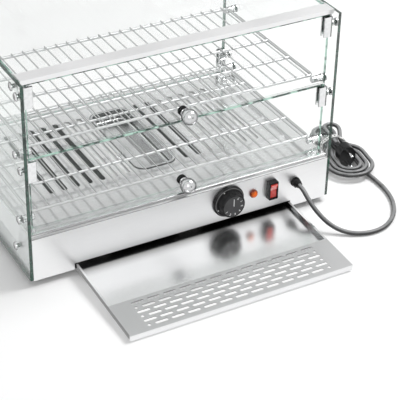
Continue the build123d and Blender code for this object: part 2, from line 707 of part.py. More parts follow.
# Indicator lamp: domed lens in front, its body through the panel
lamp_plane = Plane((LAMP_X, FRONT, CONTROL_Z), x_dir=(1, 0, 0), z_dir=(0, -1, 0))
with BuildPart() as lens:
    with BuildSketch(Plane.XZ):
        with BuildLine():
            Polyline((0, 0), (6.6, 0), (6.6, 1.4), (5.6, 2.2), (5.6, 3.6))
            TangentArc((0, 7.0), (5.6, 3.6), tangent=(1, 0))
            Line((0, 7.0), (0, 0))
        make_face()
    revolve(axis=Axis.Z)
lamp_lens = group(lens.part, [lamp_plane])
save(lamp_lens, "lamp_lens")
LAMP_BODY = [
    (0, 0),
    (4.8, 0),
    (4.8, -SHEET),
    (7.5, -SHEET),
    (7.5, -4.0),
    (4.8, -4.0),
    (4.8, -24.0),
    (0, -24.0),
]
lamp_body = group(revolved(LAMP_BODY), [lamp_plane])
save(lamp_body, "lamp_body")

# Rocker switch: deep frame with its body behind the panel, and the tilting rocker
switch_plane = Plane((SWITCH_X, FRONT, CONTROL_Z), x_dir=(1, 0, 0), z_dir=(0, -1, 0))
POCKET_WIDTH = 11.6
POCKET_HEIGHT = 25.0
POCKET_DEEP = 7.5
ROCKER_HALF = 11.5
ROCKER_AXIS = SWITCH_PROUD - 3.0
with BuildPart() as switch_frame:
    with BuildSketch(switch_plane):
        RectangleRounded(SWITCH_WIDTH, SWITCH_HEIGHT, 1.5)
    extrude(amount=SWITCH_PROUD, taper=2.0)
    with BuildSketch(switch_plane):
        Rectangle(12.6, 28.2)
    extrude(amount=-24.0)
    with BuildSketch(switch_plane.offset(SWITCH_PROUD)):
        Rectangle(POCKET_WIDTH, POCKET_HEIGHT)
    extrude(amount=-POCKET_DEEP, mode=Mode.SUBTRACT)
    with BuildSketch(Plane.YZ.offset(SWITCH_X)):
        with Locations((FRONT - ROCKER_AXIS, CONTROL_Z)):
            Circle(1.0 + PIN_PLAY)
    extrude(amount=6.7, both=True, mode=Mode.SUBTRACT)
save(switch_frame, "switch_frame")
with BuildPart() as rocker:
    rocker_plane = Plane(
        origin=(SWITCH_X, FRONT - ROCKER_AXIS, CONTROL_Z),
        x_dir=(0, cos(radians(ROCKER_TILT)), sin(radians(ROCKER_TILT))),
        z_dir=(1, 0, 0),
    )
    with BuildSketch(rocker_plane):
        with BuildLine():
            Polyline(
                (-3.6, ROCKER_HALF),
                (-1.0, 0),
                (-3.6, -ROCKER_HALF),
                (2.0, -ROCKER_HALF),
                (2.0, ROCKER_HALF),
                close=True,
            )
        make_face()
    extrude(amount=5.5, both=True)
    fillet(rocker.edges().filter_by(Axis.X).sort_by(Axis.Y)[0:1], 0.8)
    with BuildSketch(Plane.YZ.offset(SWITCH_X)):
        with Locations((FRONT - ROCKER_AXIS, CONTROL_Z)):
            Circle(1.0)
    extrude(amount=6.4, both=True)
save(rocker, "rocker")

# Cord gland: flange, hexagon and domed cap in front, nut behind the panel
gland_plane = Plane((GLAND_X, FRONT, CONTROL_Z), x_dir=(1, 0, 0), z_dir=(0, -1, 0))
with BuildPart() as cord_gland:
    with BuildSketch(gland_plane):
        Circle(7.8)
    extrude(amount=2.0)
    with BuildSketch(gland_plane.offset(2.0)):
        RegularPolygon(7.6, 6)
    extrude(amount=5.5)
    with BuildSketch(gland_plane.offset(7.5)):
        Circle(6.2)
    extrude(amount=GLAND_REACH - 7.5, taper=14.0)
    with BuildSketch(gland_plane):
        Circle(GLAND_SHANK)
    extrude(amount=-12.0)
    with BuildSketch(gland_plane.offset(GLAND_REACH)):
        Circle(4.0)
    extrude(amount=-GLAND_REACH - 12.0, mode=Mode.SUBTRACT)
    with BuildSketch(gland_plane.offset(GLAND_REACH - 8.0)):
        Circle(5.0)
    extrude(amount=-2.0)
save(cord_gland, "cord_gland")
with BuildPart() as gland_nut:
    with BuildSketch(gland_plane.offset(-SHEET)):
        RegularPolygon(8.8, 6)
        Circle(GLAND_SHANK, mode=Mode.SUBTRACT)
    extrude(amount=-4.5)
save(gland_nut, "gland_nut")

# Heater: one bent tube round the water pan, on hangers from the floor plate
with BuildPart() as heater_element:
    with BuildLine() as heater_line:
        FilletPolyline(
            (HEATER_LEFT, HEATER_FRONT, HEATER_Z),
            (HEATER_LEFT, HEATER_REAR, HEATER_Z),
            (HEATER_RIGHT, HEATER_REAR, HEATER_Z),
            (HEATER_RIGHT, HEATER_FRONT, HEATER_Z),
            radius=22.0,
        )
    with BuildSketch(Plane((HEATER_LEFT, HEATER_FRONT, HEATER_Z), z_dir=(0, 1, 0))):
        Circle(HEATER_RADIUS)
    sweep(path=heater_line.line)
save(heater_element, "heater_element")
DECK_UNDER = DECK_TOP - SHEET
with BuildPart() as heater_hangers:
    for y in (-70.0, 80.0):
        with BuildSketch(Plane.XZ.offset(-y)):
            for x in (HEATER_LEFT, HEATER_RIGHT):
                with Locations((x, DECK_UNDER)):
                    Rectangle(11.0, DECK_UNDER - HEATER_Z + 8.0, align=(Align.CENTER, Align.MAX))
                with Locations((x, HEATER_Z)):
                    Circle(HEATER_RADIUS + 0.1, mode=Mode.SUBTRACT)
        extrude(amount=1.5)
save(heater_hangers, "heater_hangers")

# Heat shield over the electrics and the shelf that hangs below the water pan
with BuildPart() as heat_shield:
    with BuildSketch(Plane.XZ.offset(100.0)):
        with BuildLine():
            FilletPolyline(
                (81.0, 50.0),
                (81.0, 72.0),
                (INNER - SHEET, 72.0),
                (INNER - SHEET, 62.0),
                radius=2.0,
            )
            offset(amount=1.0, side=Side.RIGHT)
        make_face()
    extrude(amount=-240.0)
save(heat_shield, "heat_shield")
with BuildPart() as pan_shelf:
    with BuildSketch(Plane.YZ.offset(-84.0)):
        with BuildLine():
            FilletPolyline(
                (-84.0, DECK_UNDER),
                (-84.0, 66.0),
                (112.0, 66.0),
                (112.0, DECK_UNDER),
                radius=2.0,
            )
            offset(amount=1.0, side=Side.RIGHT)
        make_face()
    extrude(amount=120.0)
save(pan_shelf, "pan_shelf")

# Terminal block on the bottom plate, beside the right runner
with BuildPart() as terminal_block:
    with Locations((219.0, -95.0, floor_top)):
        Box(22.0, 46.0, 14.0, align=(Align.CENTER, Align.CENTER, Align.MIN))
    with BuildSketch(Plane.XY.offset(floor_top + 14.0)):
        with Locations((219.0, -95.0)):
            with GridLocations(10.0, 14.0, 2, 3):
                Circle(2.6)
    extrude(amount=-5.0, mode=Mode.SUBTRACT)
save(terminal_block, "terminal_block")

# Hank frame: u runs along the hank to the rear, v across it to the right
lean = radians(HANK_LEAN)
along = Vector(sin(lean), cos(lean), 0)
across = Vector(cos(lean), -sin(lean), 0)


def hank_point(u, v, z):
    """A point of the hank's own frame in the case's frame."""
    return Vector(HANK_X, HANK_Y, z) + along * u + across * v


def layer_height(layer):
    """Height of the strands of one layer above the floor."""
    return LAYER_BOTTOM + LAYER_STEP * layer


# Free stretch of the cord: each bend as large as its runs allow
route = [Vector(*point) for point in CORD_ROUTE]
route.append(hank_point(HANK_FRONT - 2 * CORD_RADIUS - 16.0, FRONT_ACROSS[0], LAYER_BOTTOM))
route.append(hank_point(HANK_FRONT - 2 * CORD_RADIUS, FRONT_ACROSS[0], LAYER_BOTTOM))
bend_radii = []
for before, corner, after in zip(route, route[1:], route[2:]):
    turn = (corner - before).get_angle(after - corner)
    shorter = min((corner - before).length, (after - corner).length)
    bend_radii.append(0.45 * shorter / tan(radians(turn / 2)))
print("cord radii", [round(radius, 1) for radius in bend_radii])
with BuildPart() as power_cord:
    with BuildLine() as cord_line:
        FilletPolyline(*route, radius=bend_radii)
    with BuildSketch(Plane(route[0], z_dir=route[1] - route[0])):
        Circle(CORD_RADIUS)
    sweep(path=cord_line.line)
cord_length = cord_line.wires()[0].length
tube_section = pi * CORD_RADIUS**2
cord_ratio = power_cord.part.volume / tube_section / cord_length
print("cord length", round(cord_length, 1), "volume ratio", cord_ratio)
save(power_cord, "power_cord")


def swerve(start, end, heading):
    """Two arcs that leave and arrive along the same heading."""
    middle = (start + end) / 2
    chord = (middle - start).normalized()
    TangentArc(start, middle, tangent=heading)
    TangentArc(middle, end, tangent=chord * (2 * chord.dot(heading)) - heading)


def half_turn(start, end, heading):
    """Two quarter arcs that reverse the heading."""
    centre = (start + end) / 2
    apex = centre + heading * ((end - start).length / 2)
    TangentArc(start, apex, tangent=heading)
    TangentArc(apex, end, tangent=(end - start).normalized())


# Hank: three and a half waisted loops that fan out at the front, over the cord that leads in
RUNS = len(FRONT_ACROSS)
front_heights = [layer_height(layer) for layer in FRONT_LAYERS]
waist_heights = [layer_height(layer) for layer in WAIST_LAYERS]
rear_heights = [layer_height(layer) for layer in REAR_LAYERS]
front_ends = [hank_point(HANK_FRONT, v, z) for v, z in zip(FRONT_ACROSS, front_heights)]
fan_ends = [hank_point(u, v, z) for u, v, z in zip(FANNED_BY, FRONT_ACROSS, front_heights)]
waists = [hank_point(0, v, z) for v, z in zip(WAIST_ACROSS, waist_heights)]
rear_ends = [hank_point(HANK_REAR, v, z) for v, z in zip(REAR_ACROSS, rear_heights)]
tail_z = rear_heights[-1]
tail_start = hank_point(HANK_REAR, TAIL_V, tail_z)
hank_start = hank_point(HANK_FRONT - 2 * CORD_RADIUS, FRONT_ACROSS[0], LAYER_BOTTOM)
with BuildPart() as cord_hank:
    with BuildLine() as hank_line:
        Line(hank_start, front_ends[0])
        for run in range(0, RUNS, 2):
            Line(front_ends[run], fan_ends[run])
            swerve(fan_ends[run], waists[run], along)
            swerve(waists[run], rear_ends[run], along)
            if run + 1 == RUNS:
                half_turn(rear_ends[run], tail_start, along)
                break
            half_turn(rear_ends[run], rear_ends[run + 1], along)
            swerve(rear_ends[run + 1], waists[run + 1], -along)
            swerve(waists[run + 1], fan_ends[run + 1], -along)
            Line(fan_ends[run + 1], front_ends[run + 1])
            half_turn(front_ends[run + 1], front_ends[run + 2], -along)
        Line(tail_start, hank_point(PLUG_REAR, TAIL_V, tail_z))
    with BuildSketch(Plane(hank_start, z_dir=along)):
        Circle(CORD_RADIUS)
    sweep(path=hank_line.line)
hank_wire = hank_line.wires()[0]
hank_length = hank_wire.length
SAMPLES = 900
hank_points = [tuple(hank_wire.position_at(k / SAMPLES)) for k in range(SAMPLES + 1)]
apart = int(6 * CORD_RADIUS / hank_length * SAMPLES) + 1
least_gap = min(
    dist(hank_points[a], hank_points[b])
    for a in range(SAMPLES + 1)
    for b in range(a + apart, SAMPLES + 1)
) - 2 * CORD_RADIUS
print("hank length", round(hank_length, 1), "least gap", round(least_gap, 2))
print("hank volume ratio", cord_hank.part.volume / tube_section / hank_length)
save(cord_hank, "cord_hank")

# Tie: a strap round the hank's waist
with BuildPart() as cord_tie:
    with BuildSketch(Plane(hank_point(TIE_WIDTH / 2, 0, 0), x_dir=across, z_dir=-along)):
        with BuildLine():
            FilletPolyline(
                (-18.4, 0.2),
                (23.4, 0.2),
                (23.4, 15.2),
                (8.0, 25.6),
                (-4.0, 25.6),
                (-18.4, 15.2),
                radius=3.0,
                close=True,
            )
        make_face()
        offset(amount=-TIE_THICK, mode=Mode.SUBTRACT)
    extrude(amount=TIE_WIDTH)
save(cord_tie, "cord_tie")

# Plug: strain relief, shoulder and oval body, with two pins in its face
with BuildPart() as plug_body:
    plug_plane = Plane(hank_point(PLUG_REAR, TAIL_V, tail_z), x_dir=across, z_dir=-along)
    with BuildSketch(plug_plane):
        Circle(4.8)
    with BuildSketch(plug_plane.offset(16.0)):
        Circle(6.6)
    loft()
    with BuildSketch(plug_plane.offset(16.0)):
        Ellipse(7.5, 8.5)
    with BuildSketch(plug_plane.offset(24.0)):
        Ellipse(PLUG_WIDE, PLUG_TALL)
    loft()
    with BuildSketch(plug_plane.offset(24.0)):
        Ellipse(PLUG_WIDE, PLUG_TALL)
    extrude(amount=18.0)
save(plug_body, "plug_body")
pin = revolved([(0, 0), (2.4, 0), (2.4, PIN_LENGTH - 1.5), (1.4, PIN_LENGTH), (0, PIN_LENGTH)])
face_plane = plug_plane.offset(42.0)
pin_planes = [Plane(face_plane.from_local_coords((0, k * PIN_SPACING / 2, 0)), z_dir=-along) for k in (-1, 1)]
plug_pins = group(pin, pin_planes)
save(plug_pins, "plug_pins")
print("cord in all", round(cord_length + hank_length, 1))
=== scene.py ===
"""Looks of a heated display case: glass cabinet, steel base, crumb tray, controls and power cord."""
import logging
import math
from dataclasses import dataclass, field
from enum import Enum

import bmesh
import bpy
from mathutils import Matrix, Vector


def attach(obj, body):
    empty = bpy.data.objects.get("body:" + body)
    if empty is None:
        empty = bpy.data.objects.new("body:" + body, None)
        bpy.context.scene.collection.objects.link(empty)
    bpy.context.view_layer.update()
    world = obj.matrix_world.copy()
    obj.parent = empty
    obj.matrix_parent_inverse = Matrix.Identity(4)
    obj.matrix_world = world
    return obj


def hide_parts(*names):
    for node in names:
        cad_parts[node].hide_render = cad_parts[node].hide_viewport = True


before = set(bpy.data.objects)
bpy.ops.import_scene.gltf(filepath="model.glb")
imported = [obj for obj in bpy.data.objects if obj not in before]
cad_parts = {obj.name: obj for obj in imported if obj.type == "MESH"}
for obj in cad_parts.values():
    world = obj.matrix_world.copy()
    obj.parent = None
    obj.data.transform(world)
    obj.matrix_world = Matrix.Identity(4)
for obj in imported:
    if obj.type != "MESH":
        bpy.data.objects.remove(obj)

LOG = logging.getLogger("display_case")
Colour = tuple[float, float, float]
Point = tuple[float, float, float]
Outline = list[tuple[float, float]]
Profile = tuple[tuple[float, float], ...]
Socket = bpy.types.NodeSocket

WHITE: Colour = (1.0, 1.0, 1.0)
# Stretch that leaves a texture as it is
EVEN: Point = (1.0, 1.0, 1.0)
# Usual range of a noise
NOISE_RANGE = (0.3, 0.7)
# Upward part of the normal that divides lying faces from standing ones
LYING = 0.5
# Part of the normal along a pane's thickness above which a face is one of its two large ones
PANE_FACE = 0.9
# Upward part of the normal where the painted shade of a sheet's standing faces ends, that of its bends begins
# and ends, and that of its lying faces begins
SHEET_TILTS = (0.1, 0.3, 0.985, 0.998)
# Radius below which a turned shape has a point in place of a ring
POLE_RADIUS = 1e-7
# Parts of a quarter round
CORNER_STEPS = 6
# Places that pieces and finishes share, in metres, and the lean of the hank in radians
CONTROL_HEIGHT = 0.053
LAMP_CENTRE: Point = (0.114, -0.165, CONTROL_HEIGHT)
LAMP_RADIUS = 0.0066
HANK_CENTRE: Point = (0.342, -0.038, 0.0)
HANK_LEAN = math.radians(10.0)


class Axis(Enum):
    """An axis of the case, by its place in a vector."""

    X = 0
    Y = 1
    Z = 2


class Body(Enum):
    """The bodies that new pieces ride on."""

    CASE = "case"
    LOWER_DOOR = "lower_door"
    UPPER_DOOR = "upper_door"
    DIAL = "dial"


class Level(Enum):
    """The two levels of doors and racks."""

    LOWER = "lower"
    UPPER = "upper"


def grey(level: float) -> Colour:
    """A grey of one level."""
    return (level, level, level)


def scaled(colour: Colour, share: float) -> Colour:
    """A colour times a share, with no part over 1."""
    return tuple(min(1.0, part * share) for part in colour)


class Wiring:
    """A node tree, with short calls for the nodes that materials and the surroundings share."""

    def __init__(self, tree: bpy.types.NodeTree) -> None:
        """Take over a tree and empty it."""
        self.tree = tree
        self.tree.nodes.clear()

    def link(self, source: Socket, target: Socket) -> None:
        """Join two sockets."""
        self.tree.links.new(source, target)

    def add(self, kind: str, **settings: object) -> bpy.types.Node:
        """Add a node and set its plain properties.

        Args:
            kind: Blender's node type name.
            settings: Property names and their values.

        Returns:
            The new node.
        """
        node = self.tree.nodes.new(kind)
        for key, value in settings.items():
            setattr(node, key, value)
        return node

    def put(self, target: Socket, value: object) -> None:
        """Give a socket its value.

        Args:
            target: The socket.
            value: Another socket, a number or a colour.
        """
        if isinstance(value, Socket):
            self.link(value, target)
        else:
            target.default_value = (*value, 1.0) if isinstance(value, tuple) else value

    def math(self, operation: str, first: object, second: object = 0.0) -> Socket:
        """One sum on two values, each a socket or a number.

        Args:
            operation: Blender's name of the operation.
            first: First value.
            second: Second value.

        Returns:
            The result socket.
        """
        node = self.add("ShaderNodeMath", operation=operation)
        self.put(node.inputs[0], first)
        self.put(node.inputs[1], second)
        return node.outputs["Value"]

    def blend(self, share: Socket, first: Socket, second: Socket) -> Socket:
        """Mix two shaders.

        Args:
            share: Share of the second shader.
            first: First shader.
            second: Second shader.

        Returns:
            The mixed shader.
        """
        node = self.add("ShaderNodeMixShader")
        for slot, source in zip(node.inputs, (share, first, second)):
            self.link(source, slot)
        return node.outputs["Shader"]


class NodeSheet(Wiring):
    """The node tree of one material, with short calls for the nodes that the finishes share."""

    def __init__(self, name: str) -> None:
        """Start a material with one surface shader.

        Args:
            name: Name of the new material.
        """
        self.material = bpy.data.materials.new(name)
        self.material.use_nodes = True
        super().__init__(self.material.node_tree)
        self.output = self.add("ShaderNodeOutputMaterial")
        self.surface = self.add("ShaderNodeBsdfPrincipled")
        self.show(self.surface.outputs["BSDF"])

    def show(self, shader: Socket) -> None:
        """Make a shader the material's surface."""
        self.link(shader, self.output.inputs["Surface"])

    def feed(self, slot: str, source: Socket) -> None:
        """Join a socket to a named socket of the surface shader."""
        self.link(source, self.surface.inputs[slot])

    def set(self, **values: object) -> None:
        """Set sockets of the surface shader, with underscores for the spaces in their names."""
        for key, value in values.items():
            self.surface.inputs[key.replace("_", " ")].default_value = value

    def place(self, stretch: Point = EVEN) -> Socket:
        """Object coordinates, stretched along the case's axes.

        Args:
            stretch: Factor for each axis.

        Returns:
            The vector socket.
        """
        coordinates = self.add("ShaderNodeTexCoord")
        mapping = self.add("ShaderNodeMapping")
        mapping.inputs["Scale"].default_value = stretch
        self.link(coordinates.outputs["Object"], mapping.inputs["Vector"])
        return mapping.outputs["Vector"]

    def noise(self, cells: float, detail: float = 3.0, stretch: Point = EVEN) -> Socket:
        """Grey noise over the object's coordinates.

        Args:
            cells: Noise cells per metre.
            detail: Octaves of detail.
            stretch: Factor for each axis.

        Returns:
            The value socket, from 0 to 1.
        """
        node = self.add("ShaderNodeTexNoise")
        node.inputs["Scale"].default_value = cells
        node.inputs["Detail"].default_value = detail
        self.link(self.place(stretch), node.inputs["Vector"])
        return node.outputs["Fac"]

    def spread(
        self,
        value: Socket,
        low: float,
        high: float,
        span: tuple[float, float] = NOISE_RANGE,
        curve: str = "LINEAR",
    ) -> Socket:
        """Map a span of a value onto a range.

        Args:
            value: Socket to map.
            low: Result at the span's start.
            high: Result at its end.
            span: Start and end.
            curve: Blender's name of the way between them.

        Returns:
            The mapped socket.
        """
        node = self.add("ShaderNodeMapRange", interpolation_type=curve)
        for slot, number in zip(("From Min", "From Max", "To Min", "To Max"), (*span, low, high)):
            node.inputs[slot].default_value = number
        self.link(value, node.inputs["Value"])
        return node.outputs["Result"]

    def ramp(self, value: Socket, stops: list[tuple[float, Colour]]) -> Socket:
        """Colours along a value.

        Args:
            value: Socket from 0 to 1.
            stops: Places and their colours.

        Returns:
            The colour socket.
        """
        node = self.add("ShaderNodeValToRGB")
        elements = node.color_ramp.elements
        while len(elements) < len(stops):
            elements.new(0.5)
        for element, (place, colour) in zip(elements, stops):
            element.position = place
            element.color = (*colour, 1.0)
        self.link(value, node.inputs["Fac"])
        return node.outputs["Color"]

    def tones(
        self, value: Socket, low: Colour, high: Colour, span: tuple[float, float] = NOISE_RANGE
    ) -> Socket:
        """Two colours along a span of a value."""
        return self.ramp(value, list(zip(span, (low, high))))

    def part(self, coordinate: str, axis: Axis) -> Socket:
        """One part of a texture coordinate.

        Args:
            coordinate: Blender's name of the coordinate.
            axis: Which part.

        Returns:
            The value socket.
        """
        coordinates = self.add("ShaderNodeTexCoord")
        split = self.add("ShaderNodeSeparateXYZ")
        self.link(coordinates.outputs[coordinate], split.inputs["Vector"])
        return split.outputs[axis.value]

    def facing(self, axis: Axis) -> Socket:
        """How far the surface faces along one axis of the case, from -1 to 1."""
        return self.part("Normal", axis)

    def at(self, axis: Axis) -> Socket:
        """Where the surface lies along one axis of the case, in metres."""
        return self.part("Object", axis)

    def size(self, value: Socket) -> Socket:
        """A value without its sign."""
        return self.math("ABSOLUTE", value)

    def both(self, first: Socket, second: Socket) -> Socket:
        """One value times another, which is 1 where both are."""
        return self.math("MULTIPLY", first, second)

    def slant(self, first: Socket, second: Socket) -> Socket:
        """Length of the slant line over two sides at a right angle."""
        squares = [self.math("MULTIPLY", side, side) for side in (first, second)]
        return self.math("SQRT", self.math("ADD", *squares))

    def mix(self, share: object, first: object, second: object, way: str = "MIX") -> Socket:
        """Mix two colours, each a socket or a plain colour.

        Args:
            share: Share of the second colour.
            first: First colour.
            second: Second colour.
            way: Blender's name of the way they mix.

        Returns:
            The mixed colour.
        """
        node = self.add("ShaderNodeMix", data_type="RGBA", blend_type=way)
        for slot, value in {"Factor": share, "A": first, "B": second}.items():
            self.put(node.inputs[slot], value)
        return node.outputs["Result"]

    def shaded(self, colour: Socket, shade: Socket) -> Socket:
        """A colour times a shade."""
        return self.mix(1.0, colour, shade, "MULTIPLY")

    def edge_on(self, start: float, end: float, share: float) -> Socket:
        """A grey that falls from white as the surface turns edge-on.

        Args:
            start: Turn at which it begins to fall, from 0 to 1.
            end: Turn at which it is down to the share.
            share: What is left there.

        Returns:
            The grey socket.
        """
        weight = self.add("ShaderNodeLayerWeight")
        return self.tones(weight.outputs["Facing"], WHITE, grey(share), (start, end))

    def glow(self) -> bpy.types.Node:
        """An emission shader of strength 1."""
        node = self.add("ShaderNodeEmission")
        node.inputs["Strength"].default_value = 1.0
        return node

    def bump(self, height: Socket, distance: float, strength: float) -> None:
        """Raise the surface by a height.

        Args:
            height: Socket from 0 to 1.
            distance: Full height in metres.
            strength: Share of the effect.
        """
        node = self.add("ShaderNodeBump")
        node.inputs["Distance"].default_value = distance
        node.inputs["Strength"].default_value = strength
        self.link(height, node.inputs["Height"])
        self.feed("Normal", node.outputs["Normal"])


@dataclass(frozen=True)
class Finish:
    """A finish with a name; its material is made once.

    Attributes:
        name: Name of the material.
    """

    name: str

    def material(self) -> bpy.types.Material:
        """Return the material, making it the first time."""
        found = bpy.data.materials.get(self.name)
        return found if found else self.make()

    def make(self) -> bpy.types.Material:
        """Make the material."""
        raise NotImplementedError


@dataclass(frozen=True)
class SheetSteel(Finish):
    """Rolled stainless sheet with a fine grain along one axis.

    Attributes:
        dark: Colour in the grain's valleys.
        light: Colour on the grain's ridges.
        smooth: Least roughness.
        rough: Most roughness.
        grain: Axis along which the sheet was rolled.
        drawn: How far the grain is drawn out, as the share of its cells that is left.
        cloud: Share of the cloudy handling marks beside the grain.
        depth: Height of the grain in metres.
        metal: Share of bare metal, less on a zinc coat.
        wall_shade: Share of the colour that standing faces keep, as painted shade.
        bend: Share of the colour that bends keep, as painted shade over the lamps' highlight on them.
        ledge_shade: Share of the colour that lying faces keep, as painted shade.
    """

    dark: Colour
    light: Colour
    smooth: float = 0.28
    rough: float = 0.4
    grain: Axis = Axis.X
    drawn: float = 0.02
    cloud: float = 0.6
    depth: float = 0.00002
    metal: float = 1.0
    wall_shade: float = 1.0
    bend: float = 1.0
    ledge_shade: float = 1.0

    def make(self) -> bpy.types.Material:
        """Make the material."""
        sheet = NodeSheet(self.name)
        stretch = [1.0, 1.0, 1.0]
        stretch[self.grain.value] = self.drawn
        grain = sheet.noise(cells=1800.0, detail=2.0, stretch=tuple(stretch))
        clouds = sheet.math("MULTIPLY", sheet.noise(cells=9.0), self.cloud)
        texture = sheet.math("ADD", sheet.math("MULTIPLY", grain, 1.0 - self.cloud), clouds)
        # Painted shade: standing faces, bends and lying faces keep only their shares of the colour.
        shade_shares = (self.wall_shade, self.bend, self.bend, self.ledge_shade)
        stops = [(tilt, grey(share)) for tilt, share in zip(SHEET_TILTS, shade_shares)]
        kept = sheet.ramp(sheet.facing(Axis.Z), stops)
        sheet.feed("Base Color", sheet.shaded(sheet.tones(texture, self.dark, self.light), kept))
        sheet.feed("Roughness", sheet.spread(texture, self.smooth, self.rough))
        sheet.bump(grain, self.depth, strength=0.5)
        sheet.set(Metallic=self.metal)
        return sheet.material


@dataclass(frozen=True)
class TraySteel(Finish):
    """Bright pan with a blasted apron in front, both of one sheet.

    Attributes:
        colour: Metal colour of the pan.
        blasted: Metal colour of the apron.
        wall_shade: Metal colour of the side walls and of the holes' walls, dark as painted shade.
        rear_shade: What the heat tint of the rear leaves of the colour.
        pan: Roughness of the pan.
        apron: Roughness of the apron.
        haze: How far the roughness goes up and down.
        step: Where the apron meets the pan, along the case's depth.
        lip: Where the lip begins.
        rear_shade_span: Where the painted shade towards the rear begins and where it is full.
    """

    colour: Colour = (0.9, 0.905, 0.91)
    blasted: Colour = (0.56, 0.563, 0.566)
    wall_shade: Colour = (0.2, 0.202, 0.205)
    rear_shade: Colour = (0.3, 0.295, 0.29)
    pan: float = 0.2
    apron: float = 0.34
    haze: float = 0.02
    step: float = -0.2706
    lip: float = -0.338
    rear_shade_span: tuple[float, float] = (-0.196, -0.166)

    def make(self) -> bpy.types.Material:
        """Make the material."""
        sheet = NodeSheet(self.name)
        haze = sheet.noise(cells=14.0)
        upward, depth = sheet.facing(Axis.Z), sheet.at(Axis.Y)
        lying = sheet.math("GREATER_THAN", upward, LYING)
        standing = sheet.math("LESS_THAN", sheet.size(upward), LYING)
        on_apron = sheet.both(lying, sheet.math("LESS_THAN", depth, self.step))
        wall_shade_mask = sheet.both(standing, sheet.math("GREATER_THAN", depth, self.lip))
        # Painted shade: the pan darkens towards the rear, where it runs under the front panel.
        rear_shade_amount = sheet.spread(depth, low=0.0, high=1.0, span=self.rear_shade_span, curve="SMOOTHSTEP")
        metal = sheet.tones(haze, scaled(self.colour, share=0.95), self.colour)
        metal = sheet.shaded(metal, sheet.tones(rear_shade_amount, WHITE, self.rear_shade, span=(0.0, 1.0)))
        metal = sheet.mix(on_apron, metal, self.blasted)
        # Painted shade: side walls and hole walls take the dark wall colour.
        sheet.feed("Base Color", sheet.mix(wall_shade_mask, metal, self.wall_shade))
        rougher = sheet.math("MULTIPLY", on_apron, self.apron - self.pan)
        hazy = sheet.spread(haze, self.pan - self.haze, self.pan + self.haze)
        sheet.feed("Roughness", sheet.math("ADD", rougher, hazy))
        sheet.bump(sheet.noise(cells=2600.0, detail=2.0), distance=0.000003, strength=0.4)
        sheet.set(Metallic=1.0)
        return sheet.material


@dataclass(frozen=True)
class PanSteel(Finish):
    """Drawn steel dish, with a dark line at the joint along its rim and painted shade along the bend into the
    hollow.

    Attributes:
        colour: Metal colour.
        joint_and_crease_shade: Colour of the dark lines: the joint at the rim, and painted shade along the
            bend.
        middle: Where the middle of the dish lies, along the case's depth.
        width: Width over the rim.
        length: Length over the rim.
        corner: Corner radius of the rim.
        rim_line: Width of the dark line along the rim.
        bend: Distance from the rim to the bend.
        bend_line: Width of the dark line to each side of the bend.
        hollow: Distance from the rim to where the darker right part begins.
        dark_right_from: Where the darker part begins, right of the middle.
        dark_right_share: Share of the colour that is left on the darker right part, as a painted dark
            reflection.
    """

    colour: Colour = (0.8, 0.805, 0.81)
    joint_and_crease_shade: Colour = grey(0.1)
    middle: float = 0.016
    width: float = 0.07
    length: float = 0.186
    corner: float = 0.018
    rim_line: float = 0.00091
    bend: float = 0.0052
    bend_line: float = 0.0007
    hollow: float = 0.00988
    dark_right_from: float = 0.0021
    dark_right_share: float = 0.5

    def from_rim(self, sheet: NodeSheet) -> Socket:
        """Distance from the rim, inwards.

        Args:
            sheet: The material's nodes.

        Returns:
            The value socket, in metres.
        """
        aside = sheet.size(sheet.at(Axis.X))
        along = sheet.size(sheet.math("SUBTRACT", sheet.at(Axis.Y), self.middle))
        past_side = sheet.math("SUBTRACT", aside, self.width / 2 - self.corner)
        past_end = sheet.math("SUBTRACT", along, self.length / 2 - self.corner)
        outer = sheet.slant(sheet.math("MAXIMUM", past_side, 0.0), sheet.math("MAXIMUM", past_end, 0.0))
        inner = sheet.math("MINIMUM", sheet.math("MAXIMUM", past_side, past_end), 0.0)
        return sheet.math("SUBTRACT", self.corner, sheet.math("ADD", outer, inner))

    def make(self) -> bpy.types.Material:
        """Make the material."""
        sheet = NodeSheet(self.name)
        depth = self.from_rim(sheet)
        # The line at the rim is the joint; the line along the bend is painted shade.
        at_rim = sheet.math("LESS_THAN", depth, self.rim_line)
        from_bend = sheet.size(sheet.math("SUBTRACT", depth, self.bend))
        lines = sheet.math("MAXIMUM", at_rim, sheet.math("LESS_THAN", from_bend, self.bend_line))
        # Painted dark reflection: the right part of the hollow is darker.
        in_hollow = sheet.math("GREATER_THAN", depth, self.hollow)
        right = sheet.math("GREATER_THAN", sheet.at(Axis.X), self.dark_right_from)
        painted_dark_share = sheet.math("MULTIPLY", sheet.both(in_hollow, right), 1.0 - self.dark_right_share)
        haze = sheet.noise(cells=40.0)
        metal = sheet.tones(haze, scaled(self.colour, share=0.9), self.colour)
        metal = sheet.shaded(metal, sheet.math("SUBTRACT", 1.0, painted_dark_share))
        sheet.feed("Base Color", sheet.mix(lines, metal, self.joint_and_crease_shade))
        sheet.feed("Roughness", sheet.spread(haze, low=0.18, high=0.26))
        sheet.set(Metallic=1.0)
        return sheet.material


@dataclass(frozen=True)
class Plated(Finish):
    """Bright plating with faint handling haze, darkened where it is seen edge-on as a painted dark
    reflection.

    Attributes:
        smooth: Least roughness.
        rough: Most roughness.
        colour: Metal colour.
        rim: Share of the colour that is left edge-on, where the painted dark reflection is full.
    """

    smooth: float
    rough: float
    colour: Colour = (0.78, 0.785, 0.79)
    rim: float = 0.12

    def make(self) -> bpy.types.Material:
        """Make the material."""
        sheet = NodeSheet(self.name)
        haze = sheet.noise(cells=260.0, detail=4.0)
        plating = sheet.tones(haze, self.colour, scaled(self.colour, share=1.1), span=(0.35, 0.65))
        # Painted dark reflection: the colour falls as the surface turns edge-on.
        shade = sheet.edge_on(start=0.3, end=0.75, share=self.rim)
        sheet.feed("Base Color", sheet.shaded(plating, shade))
        sheet.feed("Roughness", sheet.spread(haze, self.smooth, self.rough))
        sheet.set(Metallic=1.0)
        return sheet.material


